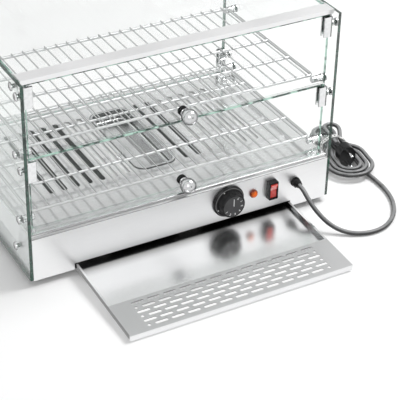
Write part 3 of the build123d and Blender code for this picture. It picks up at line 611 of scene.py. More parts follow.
@dataclass(frozen=True)
class PaneGlass(Finish):
    """A float-glass pane: clear through its faces, green along its ground edges.

    Attributes:
        across: Axis through the pane's thickness.
        deep: Dark green of the edge.
        pale: Light green of the edge.
        clear: Faint green of the faces.
        veil: Least share of light that the faces hold back.
        mirror: Share of the edge-on reflection that is kept.
        fall: How steeply the reflection falls off from edge-on.
        edge: Opacity of the ground edge.
        foot: Height up to which the lower edge shows faintly, through the pane.
        foot_share: Share of the edge's opacity up to there.
    """

    across: Axis
    deep: Colour = (0.004, 0.02, 0.013)
    pale: Colour = (0.03, 0.085, 0.06)
    clear: Colour = (0.86, 0.93, 0.9)
    veil: float = 0.04
    mirror: float = 0.9
    fall: float = 5.0
    edge: float = 0.92
    foot: float = 0.0
    foot_share: float = 0.2

    def make(self) -> bpy.types.Material:
        """Make the material."""
        sheet = NodeSheet(self.name)
        is_face = sheet.math("GREATER_THAN", sheet.size(sheet.facing(self.across)), PANE_FACE)
        is_edge = sheet.math("SUBTRACT", 1.0, is_face)
        weight = sheet.add("ShaderNodeLayerWeight")
        mirror = sheet.math("MULTIPLY", sheet.math("POWER", weight.outputs["Facing"], self.fall), self.mirror)
        face_alpha = sheet.both(sheet.math("ADD", mirror, self.veil), is_face)
        above = sheet.math("GREATER_THAN", sheet.at(Axis.Z), self.foot)
        shown = sheet.math("ADD", sheet.math("MULTIPLY", above, 1.0 - self.foot_share), self.foot_share)
        edge_alpha = sheet.both(sheet.math("MULTIPLY", is_edge, self.edge), shown)
        sheet.feed("Alpha", sheet.math("ADD", face_alpha, edge_alpha))
        green = sheet.tones(sheet.noise(cells=70.0, detail=4.0), self.deep, self.pale, span=(0.46, 0.58))
        sheet.feed("Base Color", sheet.mix(is_edge, self.clear, green))
        sheet.feed("Metallic", is_face)
        sheet.set(Roughness=0.04)
        return sheet.material


@dataclass(frozen=True)
class Moulded(Finish):
    """Moulded plastic or rubber with a fine texture.

    Attributes:
        colour: Body colour.
        pale: Colour of the worn high spots.
        gloss: Mean roughness.
        haze: How far the roughness goes up and down.
        grain: Texture cells per metre.
        depth: Height of the texture in metres.
        coat: Share of clear gloss on top.
        rim: Share of the gloss that is left edge-on.
        band: Turn at which the rim's share is reached, from 0 to 1.
        shine: Strength of the gloss.
        side: Share of the colour that is left on faces that don't look up, so that tops carry a painted
            highlight.
    """

    colour: Colour = (0.008, 0.008, 0.0085)
    pale: Colour = (0.014, 0.014, 0.015)
    gloss: float = 0.3
    haze: float = 0.06
    grain: float = 1500.0
    depth: float = 0.00001
    coat: float = 0.0
    rim: float = 0.3
    band: float = 0.6
    shine: float = 0.4
    side: float = 1.0

    def make(self) -> bpy.types.Material:
        """Make the material."""
        sheet = NodeSheet(self.name)
        cloud = sheet.noise(cells=60.0)
        body = sheet.tones(cloud, self.colour, self.pale, span=(0.35, 0.7))
        # Painted highlight: faces that look up keep the full colour, the others are darker.
        if self.side < 1.0:
            upward = sheet.tones(sheet.facing(Axis.Z), grey(self.side), WHITE, span=(0.45, 0.9))
            body = sheet.shaded(body, upward)
        sheet.feed("Base Color", body)
        sheet.set(Specular_IOR_Level=self.shine, Coat_Weight=self.coat, Coat_Roughness=0.06)
        if self.rim < 1.0:
            gloss = sheet.edge_on(start=0.15 * self.band, end=self.band, share=self.rim)
            sheet.feed("Specular IOR Level", sheet.math("MULTIPLY", gloss, self.shine))
        sheet.feed("Roughness", sheet.spread(cloud, self.gloss - self.haze, self.gloss + self.haze))
        sheet.bump(sheet.noise(self.grain, detail=2.0), self.depth, strength=0.6)
        return sheet.material


@dataclass(frozen=True)
class LampLens(Finish):
    """Amber lens with a ribbed inside, darkened towards the bezel as painted shade.

    Attributes:
        rim: Colour near the bezel.
        crown: Colour on the dome.
        centre: Middle of the lens in the case's frame.
        radius: Radius of the lens in metres.
        facet: How far the facets push the colours about.
    """

    # rim: Colour near the bezel, dark as painted shade.
    rim: Colour = (0.12, 0.012, 0.002)
    crown: Colour = (0.8, 0.14, 0.006)
    centre: Point = LAMP_CENTRE
    radius: float = LAMP_RADIUS
    facet: float = 0.35

    def make(self) -> bpy.types.Material:
        """Make the material."""
        sheet = NodeSheet(self.name)
        sides = [sheet.math("SUBTRACT", sheet.at(axis), self.centre[axis.value]) for axis in (Axis.X, Axis.Z)]
        outward = sheet.math("DIVIDE", sheet.slant(*sides), self.radius)
        facets = sheet.add("ShaderNodeTexVoronoi")
        facets.inputs["Scale"].default_value = 420.0
        sheet.link(sheet.place(), facets.inputs["Vector"])
        ribs = facets.outputs["Distance"]
        # Painted shade: the colour falls to the rim colour towards the bezel.
        shade = sheet.math("SUBTRACT", outward, sheet.math("MULTIPLY", ribs, self.facet))
        colour = sheet.tones(shade, self.crown, self.rim, span=(0.4, 0.75))
        sheet.feed("Base Color", colour)
        sheet.feed("Emission Color", colour)
        sheet.bump(ribs, distance=0.0002, strength=0.5)
        sheet.set(Roughness=0.4, Specular_IOR_Level=0.25, Coat_Weight=0.15, Emission_Strength=0.05)
        return sheet.material


@dataclass(frozen=True)
class PunchedStrap(Finish):
    """White tie strap with a row of punched holes along its middle.

    Attributes:
        colour: Strap colour.
        hole: Colour seen in the holes.
        lean: Angle of the hank to the case's depth, in radians.
        centre: Middle of the strap in the case's frame.
        pitch: Spacing of the holes in metres.
        half_hole: Half the width of a hole.
        narrow: Width of a hole over its length.
        rise: Run along the strap for each metre that it climbs.
    """

    colour: Colour = (0.78, 0.78, 0.77)
    hole: Colour = grey(0.03)
    lean: float = HANK_LEAN
    centre: Point = HANK_CENTRE
    pitch: float = 0.0055
    half_hole: float = 0.0013
    narrow: float = 0.8
    rise: float = 0.8

    def make(self) -> bpy.types.Material:
        """Make the material."""
        sheet = NodeSheet(self.name)
        coordinates = sheet.add("ShaderNodeTexCoord")
        turned_back = sheet.add("ShaderNodeMapping", vector_type="TEXTURE")
        turned_back.inputs["Location"].default_value = self.centre
        turned_back.inputs["Rotation"].default_value = (0.0, 0.0, -self.lean)
        sheet.link(coordinates.outputs["Object"], turned_back.inputs["Vector"])
        split = sheet.add("ShaderNodeSeparateXYZ")
        sheet.link(turned_back.outputs["Vector"], split.inputs["Vector"])
        run = sheet.math("ADD", split.outputs["X"], sheet.math("MULTIPLY", split.outputs["Z"], self.rise))
        step = sheet.math("SUBTRACT", sheet.math("FRACT", sheet.math("DIVIDE", run, self.pitch)), 0.5)
        along = sheet.math("MULTIPLY", sheet.size(step), self.pitch)
        across = sheet.math("MULTIPLY", sheet.size(split.outputs["Y"]), self.narrow)
        is_hole = sheet.math("LESS_THAN", sheet.math("MAXIMUM", along, across), self.half_hole)
        fibre = sheet.noise(cells=700.0)
        strap = sheet.tones(fibre, scaled(self.colour, share=0.9), self.colour)
        sheet.feed("Base Color", sheet.mix(is_hole, strap, self.hole))
        sheet.bump(sheet.math("SUBTRACT", fibre, is_hole), distance=0.0003, strength=0.6)
        sheet.set(Roughness=0.5)
        return sheet.material


@dataclass(frozen=True)
class FloorFinish(Finish):
    """Pale studio floor that keeps the shadows of the case.

    Attributes:
        colour: Floor colour.
        lift: Share of plain white that the camera sees in it.
        shine: Share of plain white that metal and glass show of it.
    """

    colour: Colour = grey(0.94)
    lift: float = 0.03
    shine: float = 0.75

    def make(self) -> bpy.types.Material:
        """Make the material."""
        sheet = NodeSheet(self.name)
        mottle = sheet.noise(cells=3.0, detail=2.0)
        sheet.feed("Base Color", sheet.tones(mottle, scaled(self.colour, share=0.985), self.colour))
        sheet.set(Roughness=0.9, Specular_IOR_Level=0.1)
        rays = sheet.add("ShaderNodeLightPath").outputs
        mirrored = sheet.math("MAXIMUM", rays["Is Glossy Ray"], rays["Is Transmission Ray"])
        direct = sheet.math("MULTIPLY", rays["Is Camera Ray"], self.lift)
        share = sheet.math("MAXIMUM", direct, sheet.math("MULTIPLY", mirrored, self.shine))
        sheet.show(sheet.blend(share, sheet.surface.outputs["BSDF"], sheet.glow().outputs["Emission"]))
        return sheet.material


@dataclass(frozen=True)
class CardFinish(Finish):
    """A studio card of an even grey, whatever light falls on it.

    Attributes:
        dim: Least grey.
        pale: Most grey.
    """

    dim: float
    pale: float

    def make(self) -> bpy.types.Material:
        """Make the material."""
        sheet = NodeSheet(self.name)
        glow = sheet.glow()
        cloud = sheet.noise(cells=2.0, detail=1.0)
        sheet.link(sheet.tones(cloud, grey(self.dim), grey(self.pale)), glow.inputs["Color"])
        sheet.show(glow.outputs["Emission"])
        return sheet.material


# The panel's bends and lying faces are darkened as painted shade.
SATIN_STEEL = SheetSteel(
    "satin_panel", dark=(0.86, 0.864, 0.868), light=(0.95, 0.952, 0.955), bend=0.35, ledge_shade=0.68
)
BASE_STEEL = SheetSteel("satin_side", dark=(0.82, 0.825, 0.83), light=(0.9, 0.905, 0.91), grain=Axis.Y)
RAIL_STEEL = SheetSteel("satin_rail", dark=(0.84, 0.843, 0.846), light=(0.93, 0.932, 0.935))
TRAY_STEEL = TraySteel("tray_sheet")
# The floor plate's standing faces and bends are darkened as painted shade.
DECK_STEEL = SheetSteel(
    "deck_sheet", dark=(0.84, 0.843, 0.846), light=(0.91, 0.912, 0.915), smooth=0.15, rough=0.19,
    depth=0.0000005, wall_shade=0.8, bend=0.5,
)
PAN_STEEL = PanSteel("pan_sheet")
INNER_STEEL = SheetSteel("zinc_sheet", dark=grey(0.86), light=grey(0.94), smooth=0.45, rough=0.55, metal=0.15)
# The inner parts are coloured near black as painted shade inside the base.
SHADED_INNER_STEEL = SheetSteel("inner_sheet_shade", dark=grey(0.08), light=grey(0.13), smooth=0.5, rough=0.6, metal=0.6)
# Plated finishes darken at their edges as a painted dark reflection, down to their rim share.
CHROME = Plated("bright_plating", smooth=0.03, rough=0.08)
BALL = Plated("ball_plating", colour=(0.58, 0.585, 0.59), smooth=0.03, rough=0.06, rim=0.06)
WIRE = Plated("rack_wire", colour=(0.66, 0.665, 0.67), smooth=0.32, rough=0.42, rim=0.22)
HEATER_SHEATH = Plated("heater_tube", colour=(0.16, 0.155, 0.15), smooth=0.35, rough=0.55)
FAR_GREENS = {"deep": (0.1, 0.3, 0.22), "pale": (0.5, 0.78, 0.68)}
DOOR_GREENS = {"deep": (0.012, 0.07, 0.045), "pale": (0.55, 0.82, 0.7)}
SIDE_PANE = PaneGlass("side_pane", Axis.X)
REAR_PANE = PaneGlass("rear_pane", Axis.Y, edge=0.5, **FAR_GREENS)
TOP_PANE = PaneGlass("top_pane", Axis.Z, **FAR_GREENS)
DOOR_PANES = {
    Level.LOWER: PaneGlass("lower_pane", Axis.Y, foot=0.0893, **DOOR_GREENS),
    Level.UPPER: PaneGlass("upper_pane", Axis.Y, foot=0.2043, **DOOR_GREENS),
}
BLACK_PLASTIC = Moulded("moulded_black", shine=0.25)
DIAL_FACE = Moulded("dial_face", colour=(0.04, 0.04, 0.042), pale=(0.06, 0.06, 0.062), gloss=0.35, rim=1.0)
BLACK_RUBBER = Moulded("soft_black", gloss=0.6, grain=900.0, depth=0.00004)
# The cord's sides keep little of its colour, so that its top carries a painted highlight.
SHEATH = Moulded(
    "cord_sheath", colour=(0.22, 0.222, 0.225), pale=(0.28, 0.282, 0.286), rim=0.4, band=0.8, side=0.16
)
PLUG_BLACK = Moulded("plug_black")
ROCKER_RED = Moulded(
    "rocker_red", colour=(0.55, 0.03, 0.024), pale=(0.72, 0.07, 0.055), gloss=0.16, coat=1.0, rim=0.7
)
TERMINAL_WHITE = Moulded("terminal_white", colour=(0.7, 0.7, 0.68), pale=(0.8, 0.8, 0.78), gloss=0.4, rim=1.0)
INK = Moulded("white_ink", colour=grey(0.75), pale=grey(0.85), gloss=0.5, rim=1.0)
# Grey line round the dial's skirt: a painted highlight on the edge of its groove.
RING_HIGHLIGHT = Moulded("ring_highlight_grey", colour=grey(0.16), pale=grey(0.22), gloss=0.5, rim=1.0)
AMBER = LampLens("amber_dome")
STRAP = PunchedStrap("punched_strap")
FLOOR = FloorFinish("studio_floor")
DARK_CARD = CardFinish("dark_card", dim=0.02, pale=0.05)
GREY_CARD = CardFinish("grey_card", dim=0.7, pale=0.82)
# Glowing white for the floor under the tray's apron: painted light in the tray's shadow.
PAINTED_LIGHT_CARD = CardFinish("painted_light_card", dim=0.94, pale=1.0)


def dress(piece: bpy.types.Object, finish: Finish) -> None:
    """Give a piece one finish.

    Args:
        piece: Mesh or curve object.
        finish: Its finish.
    """
    piece.data.materials.clear()
    piece.data.materials.append(finish.material())


def dress_nodes(finish: Finish, *nodes: str) -> None:
    """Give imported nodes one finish.

    Args:
        finish: The finish.
        nodes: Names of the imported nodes.
    """
    for node in nodes:
        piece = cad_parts[node]
        dress(piece, finish)
        piece.data.polygons.foreach_set("material_index", [0] * len(piece.data.polygons))
        LOG.info("node %s dressed in %s", node, finish.name)


def new_piece(
    data: bpy.types.ID, name: str, finish: Finish, body: Body, replaced: tuple[str, ...] = ()
) -> bpy.types.Object:
    """Put new mesh or curve data into the scene as a piece.

    Args:
        data: The mesh or curve.
        name: Name of the piece.
        finish: Its finish.
        body: The body that it rides on.
        replaced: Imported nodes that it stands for.

    Returns:
        The new object.
    """
    piece = bpy.data.objects.new(name, data)
    bpy.context.scene.collection.objects.link(piece)
    dress(piece, finish)
    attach(piece, body.value)
    if replaced:
        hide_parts(*replaced)
    LOG.info("piece %s on %s in %s", name, body.value, finish.name)
    return piece


def facing_front(x: float, y: float, z: float) -> Matrix:
    """A frame on the front panel: its x to the right, its y up, its z out of the panel."""
    return Matrix(((1, 0, 0, x), (0, 0, -1, y), (0, 1, 0, z), (0, 0, 0, 1)))


def mesh_from(shape: bmesh.types.BMesh, name: str, where: Matrix, sharp: float = 35.0) -> bpy.types.Mesh:
    """Turn a finished shape into a mesh in the case's frame.

    Args:
        shape: The shape, which is freed.
        name: Name of the mesh.
        where: The shape's own frame.
        sharp: Angle in degrees above which an edge stays sharp.

    Returns:
        The mesh.
    """
    bmesh.ops.recalc_face_normals(shape, faces=shape.faces)
    mesh = bpy.data.meshes.new(name)
    shape.to_mesh(mesh)
    shape.free()
    mesh.transform(where)
    mesh.shade_smooth()
    mesh.set_sharp_from_angle(angle=math.radians(sharp))
    return mesh


def turned(outline: Outline, steps: int) -> bmesh.types.BMesh:
    """A closed shape turned about its z axis.

    Args:
        outline: Radius and height of each corner, from the bottom to the top.
        steps: Number of faces round the shape.

    Returns:
        The shape.
    """
    shape = bmesh.new()
    angles = [2 * math.pi * step / steps for step in range(steps)]
    rings: list[list[bmesh.types.BMVert]] = []
    for radius, height in outline:
        if radius < POLE_RADIUS:
            rings.append([shape.verts.new((0.0, 0.0, height))])
        else:
            places = [(radius * math.cos(angle), radius * math.sin(angle), height) for angle in angles]
            rings.append([shape.verts.new(place) for place in places])
    for low, high in zip(rings, rings[1:]):
        for step in range(steps):
            after = (step + 1) % steps
            corners = [low[step % len(low)], low[after % len(low)]]
            corners += [high[after % len(high)], high[step % len(high)]]
            shape.faces.new(list(dict.fromkeys(corners)))
    return shape


def extruded(outline: Outline, low: float, high: float, round_by: float = 0.0) -> bmesh.types.BMesh:
    """A flat outline drawn out along z, with round edges where a width is given.

    Args:
        outline: Corners in the shape's xy plane.
        low: Bottom height.
        high: Top height.
        round_by: Width of the rounding on every edge.

    Returns:
        The shape.
    """
    shape = bmesh.new()
    bottom = [shape.verts.new((x, y, low)) for x, y in outline]
    top = [shape.verts.new((x, y, high)) for x, y in outline]
    shape.faces.new(bottom)
    shape.faces.new(top)
    for index in range(len(outline)):
        after = (index + 1) % len(outline)
        shape.faces.new((bottom[index], bottom[after], top[after], top[index]))
    if round_by:
        edges = list(shape.edges)
        bmesh.ops.bevel(shape, geom=edges, offset=round_by, segments=3, profile=0.5, affect="EDGES")
    return shape


def arc(centre: tuple[float, float], radius: float, start: float, end: float, steps: int) -> Outline:
    """Points on an arc, for outlines.

    Args:
        centre: Middle of the arc.
        radius: Its radius.
        start: First angle in degrees.
        end: Last angle in degrees.
        steps: Number of parts.

    Returns:
        The points.
    """
    angles = [math.radians(start + (end - start) * step / steps) for step in range(steps + 1)]
    return [(centre[0] + radius * math.cos(a), centre[1] + radius * math.sin(a)) for a in angles]


def rounded_box(left: float, right: float, front: float, rear: float, radius: float) -> Outline:
    """Outline of a rectangle with round corners.

    Args:
        left: Lowest x.
        right: Highest x.
        front: Lowest y.
        rear: Highest y.
        radius: Corner radius.

    Returns:
        The points.
    """
    middle_x, middle_y = (left + right) / 2, (front + rear) / 2
    outline: Outline = []
    for x, y, start in ((right, rear, 0.0), (left, rear, 90.0), (left, front, 180.0), (right, front, 270.0)):
        centre = (x - math.copysign(radius, x - middle_x), y - math.copysign(radius, y - middle_y))
        outline += arc(centre, radius, start, start + 90.0, CORNER_STEPS)
    return outline


def rod(name: str, runs: list[list[Point]], radius: float, closed: bool = False) -> bpy.types.Curve:
    """Round rods along straight runs.

    Args:
        name: Name of the curve.
        runs: Corner points of each rod.
        radius: Rod radius.
        closed: Whether each rod closes on itself.

    Returns:
        The curve.
    """
    curve = bpy.data.curves.new(name, "CURVE")
    curve.dimensions = "3D"
    curve.bevel_depth = radius
    curve.bevel_resolution = 3
    curve.use_fill_caps = True
    for points in runs:
        spline = curve.splines.new("POLY")
        spline.points.add(len(points) - 1)
        for point, place in zip(spline.points, points):
            point.co = (*place, 1.0)
        spline.use_cyclic_u = closed
        spline.use_smooth = True
    return curve


class Assembly:
    """A sub-assembly of the case, which builds new pieces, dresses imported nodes, or does both."""

    def build(self) -> None:
        """Build no new piece."""

    def dress(self) -> None:
        """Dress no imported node."""


@dataclass
class Cabinet(Assembly):
    """Glass panes, rails, pegs and screws of the cabinet."""

    side_panes: tuple[str, ...] = ("left_glass", "right_glass")
    rear_pane: str = "rear_glass"
    top_pane: str = "top_glass"
    rails: tuple[str, ...] = ("front_rail", "rear_rail")
    bright_parts: tuple[str, ...] = (
        "peg_screws", "rail_screws", "base_bolts", "door_pivots", "rear_pane_pins", "rear_clamps",
        "lower_pegs", "upper_pegs",
    )

    def dress(self) -> None:
        """Finish the panes and the metal that holds them."""
        dress_nodes(SIDE_PANE, *self.side_panes)
        dress_nodes(REAR_PANE, self.rear_pane)
        dress_nodes(TOP_PANE, self.top_pane)
        dress_nodes(RAIL_STEEL, *self.rails)
        dress_nodes(CHROME, *self.bright_parts)


@dataclass
class Rack(Assembly):
    """One wire rack on its pegs.

    Attributes:
        level: Which rack it is.
        rod_height: Height of the frame rod's middle.
        wire_flat: Share of a wire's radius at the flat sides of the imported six-sided wires.
        wire_rest: Gap between a packed wire and the rods that it lies on.
    """

    level: Level
    rod_height: float
    half_width: float = 0.231
    half_depth: float = 0.128
    corner: float = 0.006
    rod_radius: float = 0.00225
    wire_radius: float = 0.001
    wire_pitch: float = 0.0183
    wires_per_side: int = 12
    cross_pitch: float = 0.064
    overhang: float = 0.0025
    wire_flat: float = math.cos(math.radians(30.0))
    wire_rest: float = 0.00002

    def lay(self, part: str, runs: list[list[Point]], radius: float, closed: bool = False) -> None:
        """Lay the rods of one kind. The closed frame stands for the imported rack.

        Args:
            part: Name of the kind.
            runs: Corner points of each rod.
            radius: Rod radius.
            closed: Whether each rod closes on itself.
        """
        rack = f"{self.level.value}_rack"
        name = f"{rack}_{part}"
        new_piece(rod(name, runs, radius, closed), name, WIRE, Body.CASE, (rack,) if closed else ())

    def build(self) -> None:
        """Build the frame rod, the cross rods and the wires."""
        wide, deep, z = self.half_width, self.half_depth, self.rod_height
        ring = [(x, y, z) for x, y in rounded_box(-wide, wide, -deep, deep, self.corner)]
        self.lay("frame", [ring], self.rod_radius, closed=True)
        depths = [number * self.cross_pitch for number in (-1, 0, 1)]
        self.lay("cross_rods", [[(-wide, y, z), (wide, y, z)] for y in depths], self.rod_radius)
        wire_z = z + self.rod_radius + self.wire_radius * self.wire_flat + self.wire_rest
        reach = deep + self.overhang
        numbers = range(-self.wires_per_side, self.wires_per_side + 1)
        sides = [number * self.wire_pitch for number in numbers]
        self.lay("wires", [[(x, -reach, wire_z), (x, reach, wire_z)] for x in sides], self.wire_radius)


@dataclass
class Door(Assembly):
    """One flip-up door: pane, clamps, ball knob, washers and screw.

    Attributes:
        level: Which door it is.
        body: The body that it rides on.
        knob_height: Height of the knob's axis.
        foot: Radius and height of the corners of the knob's foot, up to the ball's neck.
    """

    level: Level
    body: Body
    knob_height: float
    front: float = -0.153
    washer: float = 0.0015
    ball_radius: float = 0.012
    ball_reach: float = 0.014
    neck_radius: float = 0.0046
    foot: Profile = ((0.0066, 0.0), (0.007, 0.0003), (0.007, 0.0012), (0.0066, 0.0016), (0.0046, 0.0022))

    def build(self) -> None:
        """Build the ball knob with its foot."""
        name = f"{self.level.value}_ball_knob"
        neck = -math.degrees(math.acos(self.neck_radius / self.ball_radius))
        ball = arc((0.0, self.ball_reach), self.ball_radius, start=neck, end=90.0, steps=28)
        where = facing_front(0.0, self.front - self.washer, self.knob_height)
        mesh = mesh_from(turned([(0.0, 0.0), *self.foot, *ball], steps=72), name, where)
        new_piece(mesh, name, BALL, self.body, (f"{self.level.value}_knob",))

    def dress(self) -> None:
        """Finish the pane and its fittings."""
        door = self.level.value
        dress_nodes(DOOR_PANES[self.level], f"{door}_door_glass")
        dress_nodes(CHROME, *(f"{door}_{part}" for part in ("clamp_left", "clamp_right", "knob_screw")))
        dress_nodes(BLACK_RUBBER, f"{door}_knob_washers")


@dataclass
class Base(Assembly):
    """The steel base with its floor plate, water pan, heater and feet.

    Attributes:
        fields: Name, left and right side of each raised field below the slots.
    """

    inner_parts: tuple[str, ...] = (
        "bottom_plate", "tray_runner_left", "tray_runner_right", "heat_shield", "pan_shelf", "heater_hangers",
    )
    feet: tuple[str, ...] = ("foot_front_left", "foot_front_right", "foot_rear_left", "foot_rear_right")
    fields: tuple[tuple[str, float, float], ...] = (
        ("shelf_field", -0.0835, -0.0385),
        ("shield_field", 0.0835, 0.1885),
    )
    field_front: float = -0.079
    field_rear: float = 0.111
    field_top: float = 0.0828
    field_thickness: float = 0.001
    field_corner: float = 0.006
    field_edge: float = 0.0003

    def build(self) -> None:
        """Build the raised fields of the shelf and the shield, close below the slots."""
        for name, left, right in self.fields:
            outline = rounded_box(left, right, self.field_front, self.field_rear, self.field_corner)
            shape = extruded(outline, self.field_top - self.field_thickness, self.field_top, self.field_edge)
            new_piece(mesh_from(shape, name, Matrix.Identity(4)), name, INNER_STEEL, Body.CASE)

    def dress(self) -> None:
        """Finish the sheet parts and what they hold."""
        dress_nodes(SATIN_STEEL, "front_panel")
        dress_nodes(BASE_STEEL, "base_body")
        dress_nodes(DECK_STEEL, "floor_plate")
        dress_nodes(PAN_STEEL, "water_pan")
        dress_nodes(SHADED_INNER_STEEL, *self.inner_parts)
        dress_nodes(BLACK_RUBBER, *self.feet)
        dress_nodes(HEATER_SHEATH, "heater_element")
        dress_nodes(TERMINAL_WHITE, "terminal_block")
        dress_nodes(BLACK_PLASTIC, "thermostat_body", "lamp_body")


@dataclass
class Tray(Assembly):
    """The crumb tray."""

    node: str = "crumb_tray"

    def dress(self) -> None:
        """Finish the tray."""
        dress_nodes(TRAY_STEEL, self.node)


@dataclass
class Dial(Assembly):
    """The thermostat knob with its printed numerals.

    Attributes:
        skirt_edge: Corners of the skirt's edge: distance past its radius, and height.
        ring_highlight: Corners of the grey line round the skirt, in the same way; its grey is a painted
            highlight on the groove's edge.
        drum_side: Corners of the drum's side: distance past its radius, and height.
        drum_brim: Corners of the drum's brim: distance past its radius, and height over the top.
        fluted_from: Distance inside the drum's radius from which outwards the flutes are cut.
        dot: Radius and height of the corners of a mark on the skirt.
        marks: Names and angles of the marks on the skirt, in degrees.
    """

    x: float = 0.07
    y: float = -0.1658
    z: float = CONTROL_HEIGHT
    skirt: float = 0.026
    skirt_edge: Profile = ((-0.0004, 0.0), (0.0, 0.0005), (0.0, 0.0022), (-0.0003, 0.0027), (-0.0026, 0.005))
    skirt_top: float = 0.0057
    skirt_fall: float = 0.0001
    ring_highlight: Profile = (
        (-0.0022, 0.0046), (-0.0022, 0.0049), (-0.0025, 0.0051), (-0.0027, 0.0052), (-0.0027, 0.005),
        (-0.0022, 0.0046),
    )
    drum: float = 0.0195
    drum_foot: float = 0.0012
    drum_side: Profile = ((0.0012, 0.0054), (0.0003, 0.008))
    drum_brim: Profile = ((0.0, -0.0014), (-0.0004, -0.0005), (-0.0012, -0.0001), (-0.002, -0.0002))
    drum_dip: float = 0.0003
    height: float = 0.0175
    flutes: int = 40
    steps_per_flute: int = 6
    flute_depth: float = 0.0005
    fluted_from: float = 0.0009
    face_inset: float = 0.0022
    face_height: float = 0.0004
    face_edge: float = 0.0003
    pointer_half_width: float = 0.0006
    pointer_length: float = 0.0125
    pointer_sunk: float = 0.0001
    pointer_proud: float = 0.00005
    ink_height: float = 0.00003
    scale_radius: float = 0.0142
    numeral_size: float = 0.0052
    numeral_weight: float = 0.00012
    first_angle: float = 210.0
    angle_step: float = 35.0
    numerals: tuple[str, ...] = ("1", "2", "3", "4", "5", "6", "7")
    dot: Profile = ((0.0, 0.0052), (0.0011, 0.0052), (0.0009, 0.0056), (0.0, 0.0057))
    dot_inset: float = 0.0044
    marks: tuple[tuple[str, float], ...] = (("dial_mark_a", 118.0), ("dial_mark_b", 205.0))

    def build(self) -> None:
        """Build the skirt, the fluted drum, the face and the marks on it."""
        where = facing_front(self.x, self.y, self.z)
        skirt = [(0.0, 0.0), *((self.skirt + past, height) for past, height in self.skirt_edge)]
        skirt += [(self.drum + self.drum_foot, self.skirt_top - self.skirt_fall), (0.0, self.skirt_top)]
        mesh = mesh_from(turned(skirt, steps=96), "dial_skirt", where)
        new_piece(mesh, "dial_skirt", BLACK_PLASTIC, Body.DIAL, ("thermostat_knob",))
        new_piece(self.drum_mesh(where), "dial_drum", BLACK_PLASTIC, Body.DIAL)
        radius, low = self.drum - self.face_inset, self.height - self.face_height
        face = [(0.0, low), (radius, low), (radius - self.face_edge, self.height), (0.0, self.height)]
        mesh = mesh_from(turned(face, steps=80), "dial_face", where)
        new_piece(mesh, "dial_face", DIAL_FACE, Body.DIAL)
        # The grey line round the skirt is a painted highlight.
        ring = [(self.skirt + past, height) for past, height in self.ring_highlight]
        mesh = mesh_from(turned(ring, steps=96), "dial_ring_highlight", where)
        new_piece(mesh, "dial_ring_highlight", RING_HIGHLIGHT, Body.DIAL)
        self.mark(where)

    def dress(self) -> None:
        """Finish the shaft behind the knob."""
        dress_nodes(CHROME, "thermostat_shaft")

    def drum_mesh(self, where: Matrix) -> bpy.types.Mesh:
        """Build the fluted drum.

        Args:
            where: Frame of the dial.

        Returns:
            The mesh.
        """
        outline = [(self.drum + past, height) for past, height in self.drum_side]
        outline += [(self.drum + past, self.height + over) for past, over in self.drum_brim]
        outline.append((0.0, self.height - self.drum_dip))
        shape = turned(outline, self.flutes * self.steps_per_flute)
        for vert in shape.verts:
            radius = math.hypot(vert.co.x, vert.co.y)
            if radius > self.drum - self.fluted_from:
                angle = math.atan2(vert.co.y, vert.co.x)
                cut = self.flute_depth * max(0.0, math.cos(angle * self.flutes)) ** 2
                vert.co.x *= 1.0 - cut / radius
                vert.co.y *= 1.0 - cut / radius
        return mesh_from(shape, "dial_drum", where, sharp=50.0)

    def numeral_mesh(self, numeral: str) -> bpy.types.Mesh:
        """Draw one numeral as a thin mesh about the origin.

        Args:
            numeral: The figure to draw.

        Returns:
            The mesh.
        """
        curve = bpy.data.curves.new("numeral_outline", "FONT")
        curve.body = numeral
        curve.size = self.numeral_size
        curve.align_x = "CENTER"
        curve.align_y = "CENTER"
        curve.extrude = self.ink_height
        curve.offset = self.numeral_weight
        outline = bpy.data.objects.new("numeral_outline", curve)
        mesh = bpy.data.meshes.new_from_object(outline)
        bpy.data.objects.remove(outline)
        bpy.data.curves.remove(curve)
        return mesh

    def outward(self, degrees: float, radius: float) -> Vector:
        """A place on the dial's face by its angle and radius."""
        angle = math.radians(degrees)
        return Vector((math.cos(angle), math.sin(angle), 0.0)) * radius

    def mark(self, where: Matrix) -> None:
        """Put the pointer line, the numerals and the skirt marks on the knob.

        Args:
            where: Frame of the dial.
        """
        half, end = self.pointer_half_width, self.pointer_length
        corners = [(-half, 0.0), (half, 0.0), (half, end), (-half, end)]
        line = extruded(corners, self.height - self.pointer_sunk, self.height + self.pointer_proud)
        new_piece(mesh_from(line, "dial_pointer", where), "dial_pointer", INK, Body.DIAL)
        for index, numeral in enumerate(self.numerals):
            degrees = self.first_angle + index * self.angle_step
            place = self.outward(degrees, self.scale_radius)
            place.z = self.height + self.ink_height
            turn = Matrix.Rotation(math.radians(degrees + 90.0), 4, "Z")
            mesh = self.numeral_mesh(numeral)
            mesh.transform(where @ Matrix.Translation(place) @ turn)
            new_piece(mesh, f"dial_numeral_{numeral}", INK, Body.DIAL)
        for name, degrees in self.marks:
            shift = Matrix.Translation(self.outward(degrees, self.skirt - self.dot_inset))
            mesh = mesh_from(turned(list(self.dot), steps=20), name, where @ shift)
            new_piece(mesh, name, INK, Body.DIAL)


@dataclass
class Switch(Assembly):
    """The rocker switch in its deep frame."""

    frame_node: str = "switch_frame"
    rocker_node: str = "rocker"

    def dress(self) -> None:
        """Finish the frame and the rocker."""
        dress_nodes(BLACK_PLASTIC, self.frame_node)
        dress_nodes(ROCKER_RED, self.rocker_node)


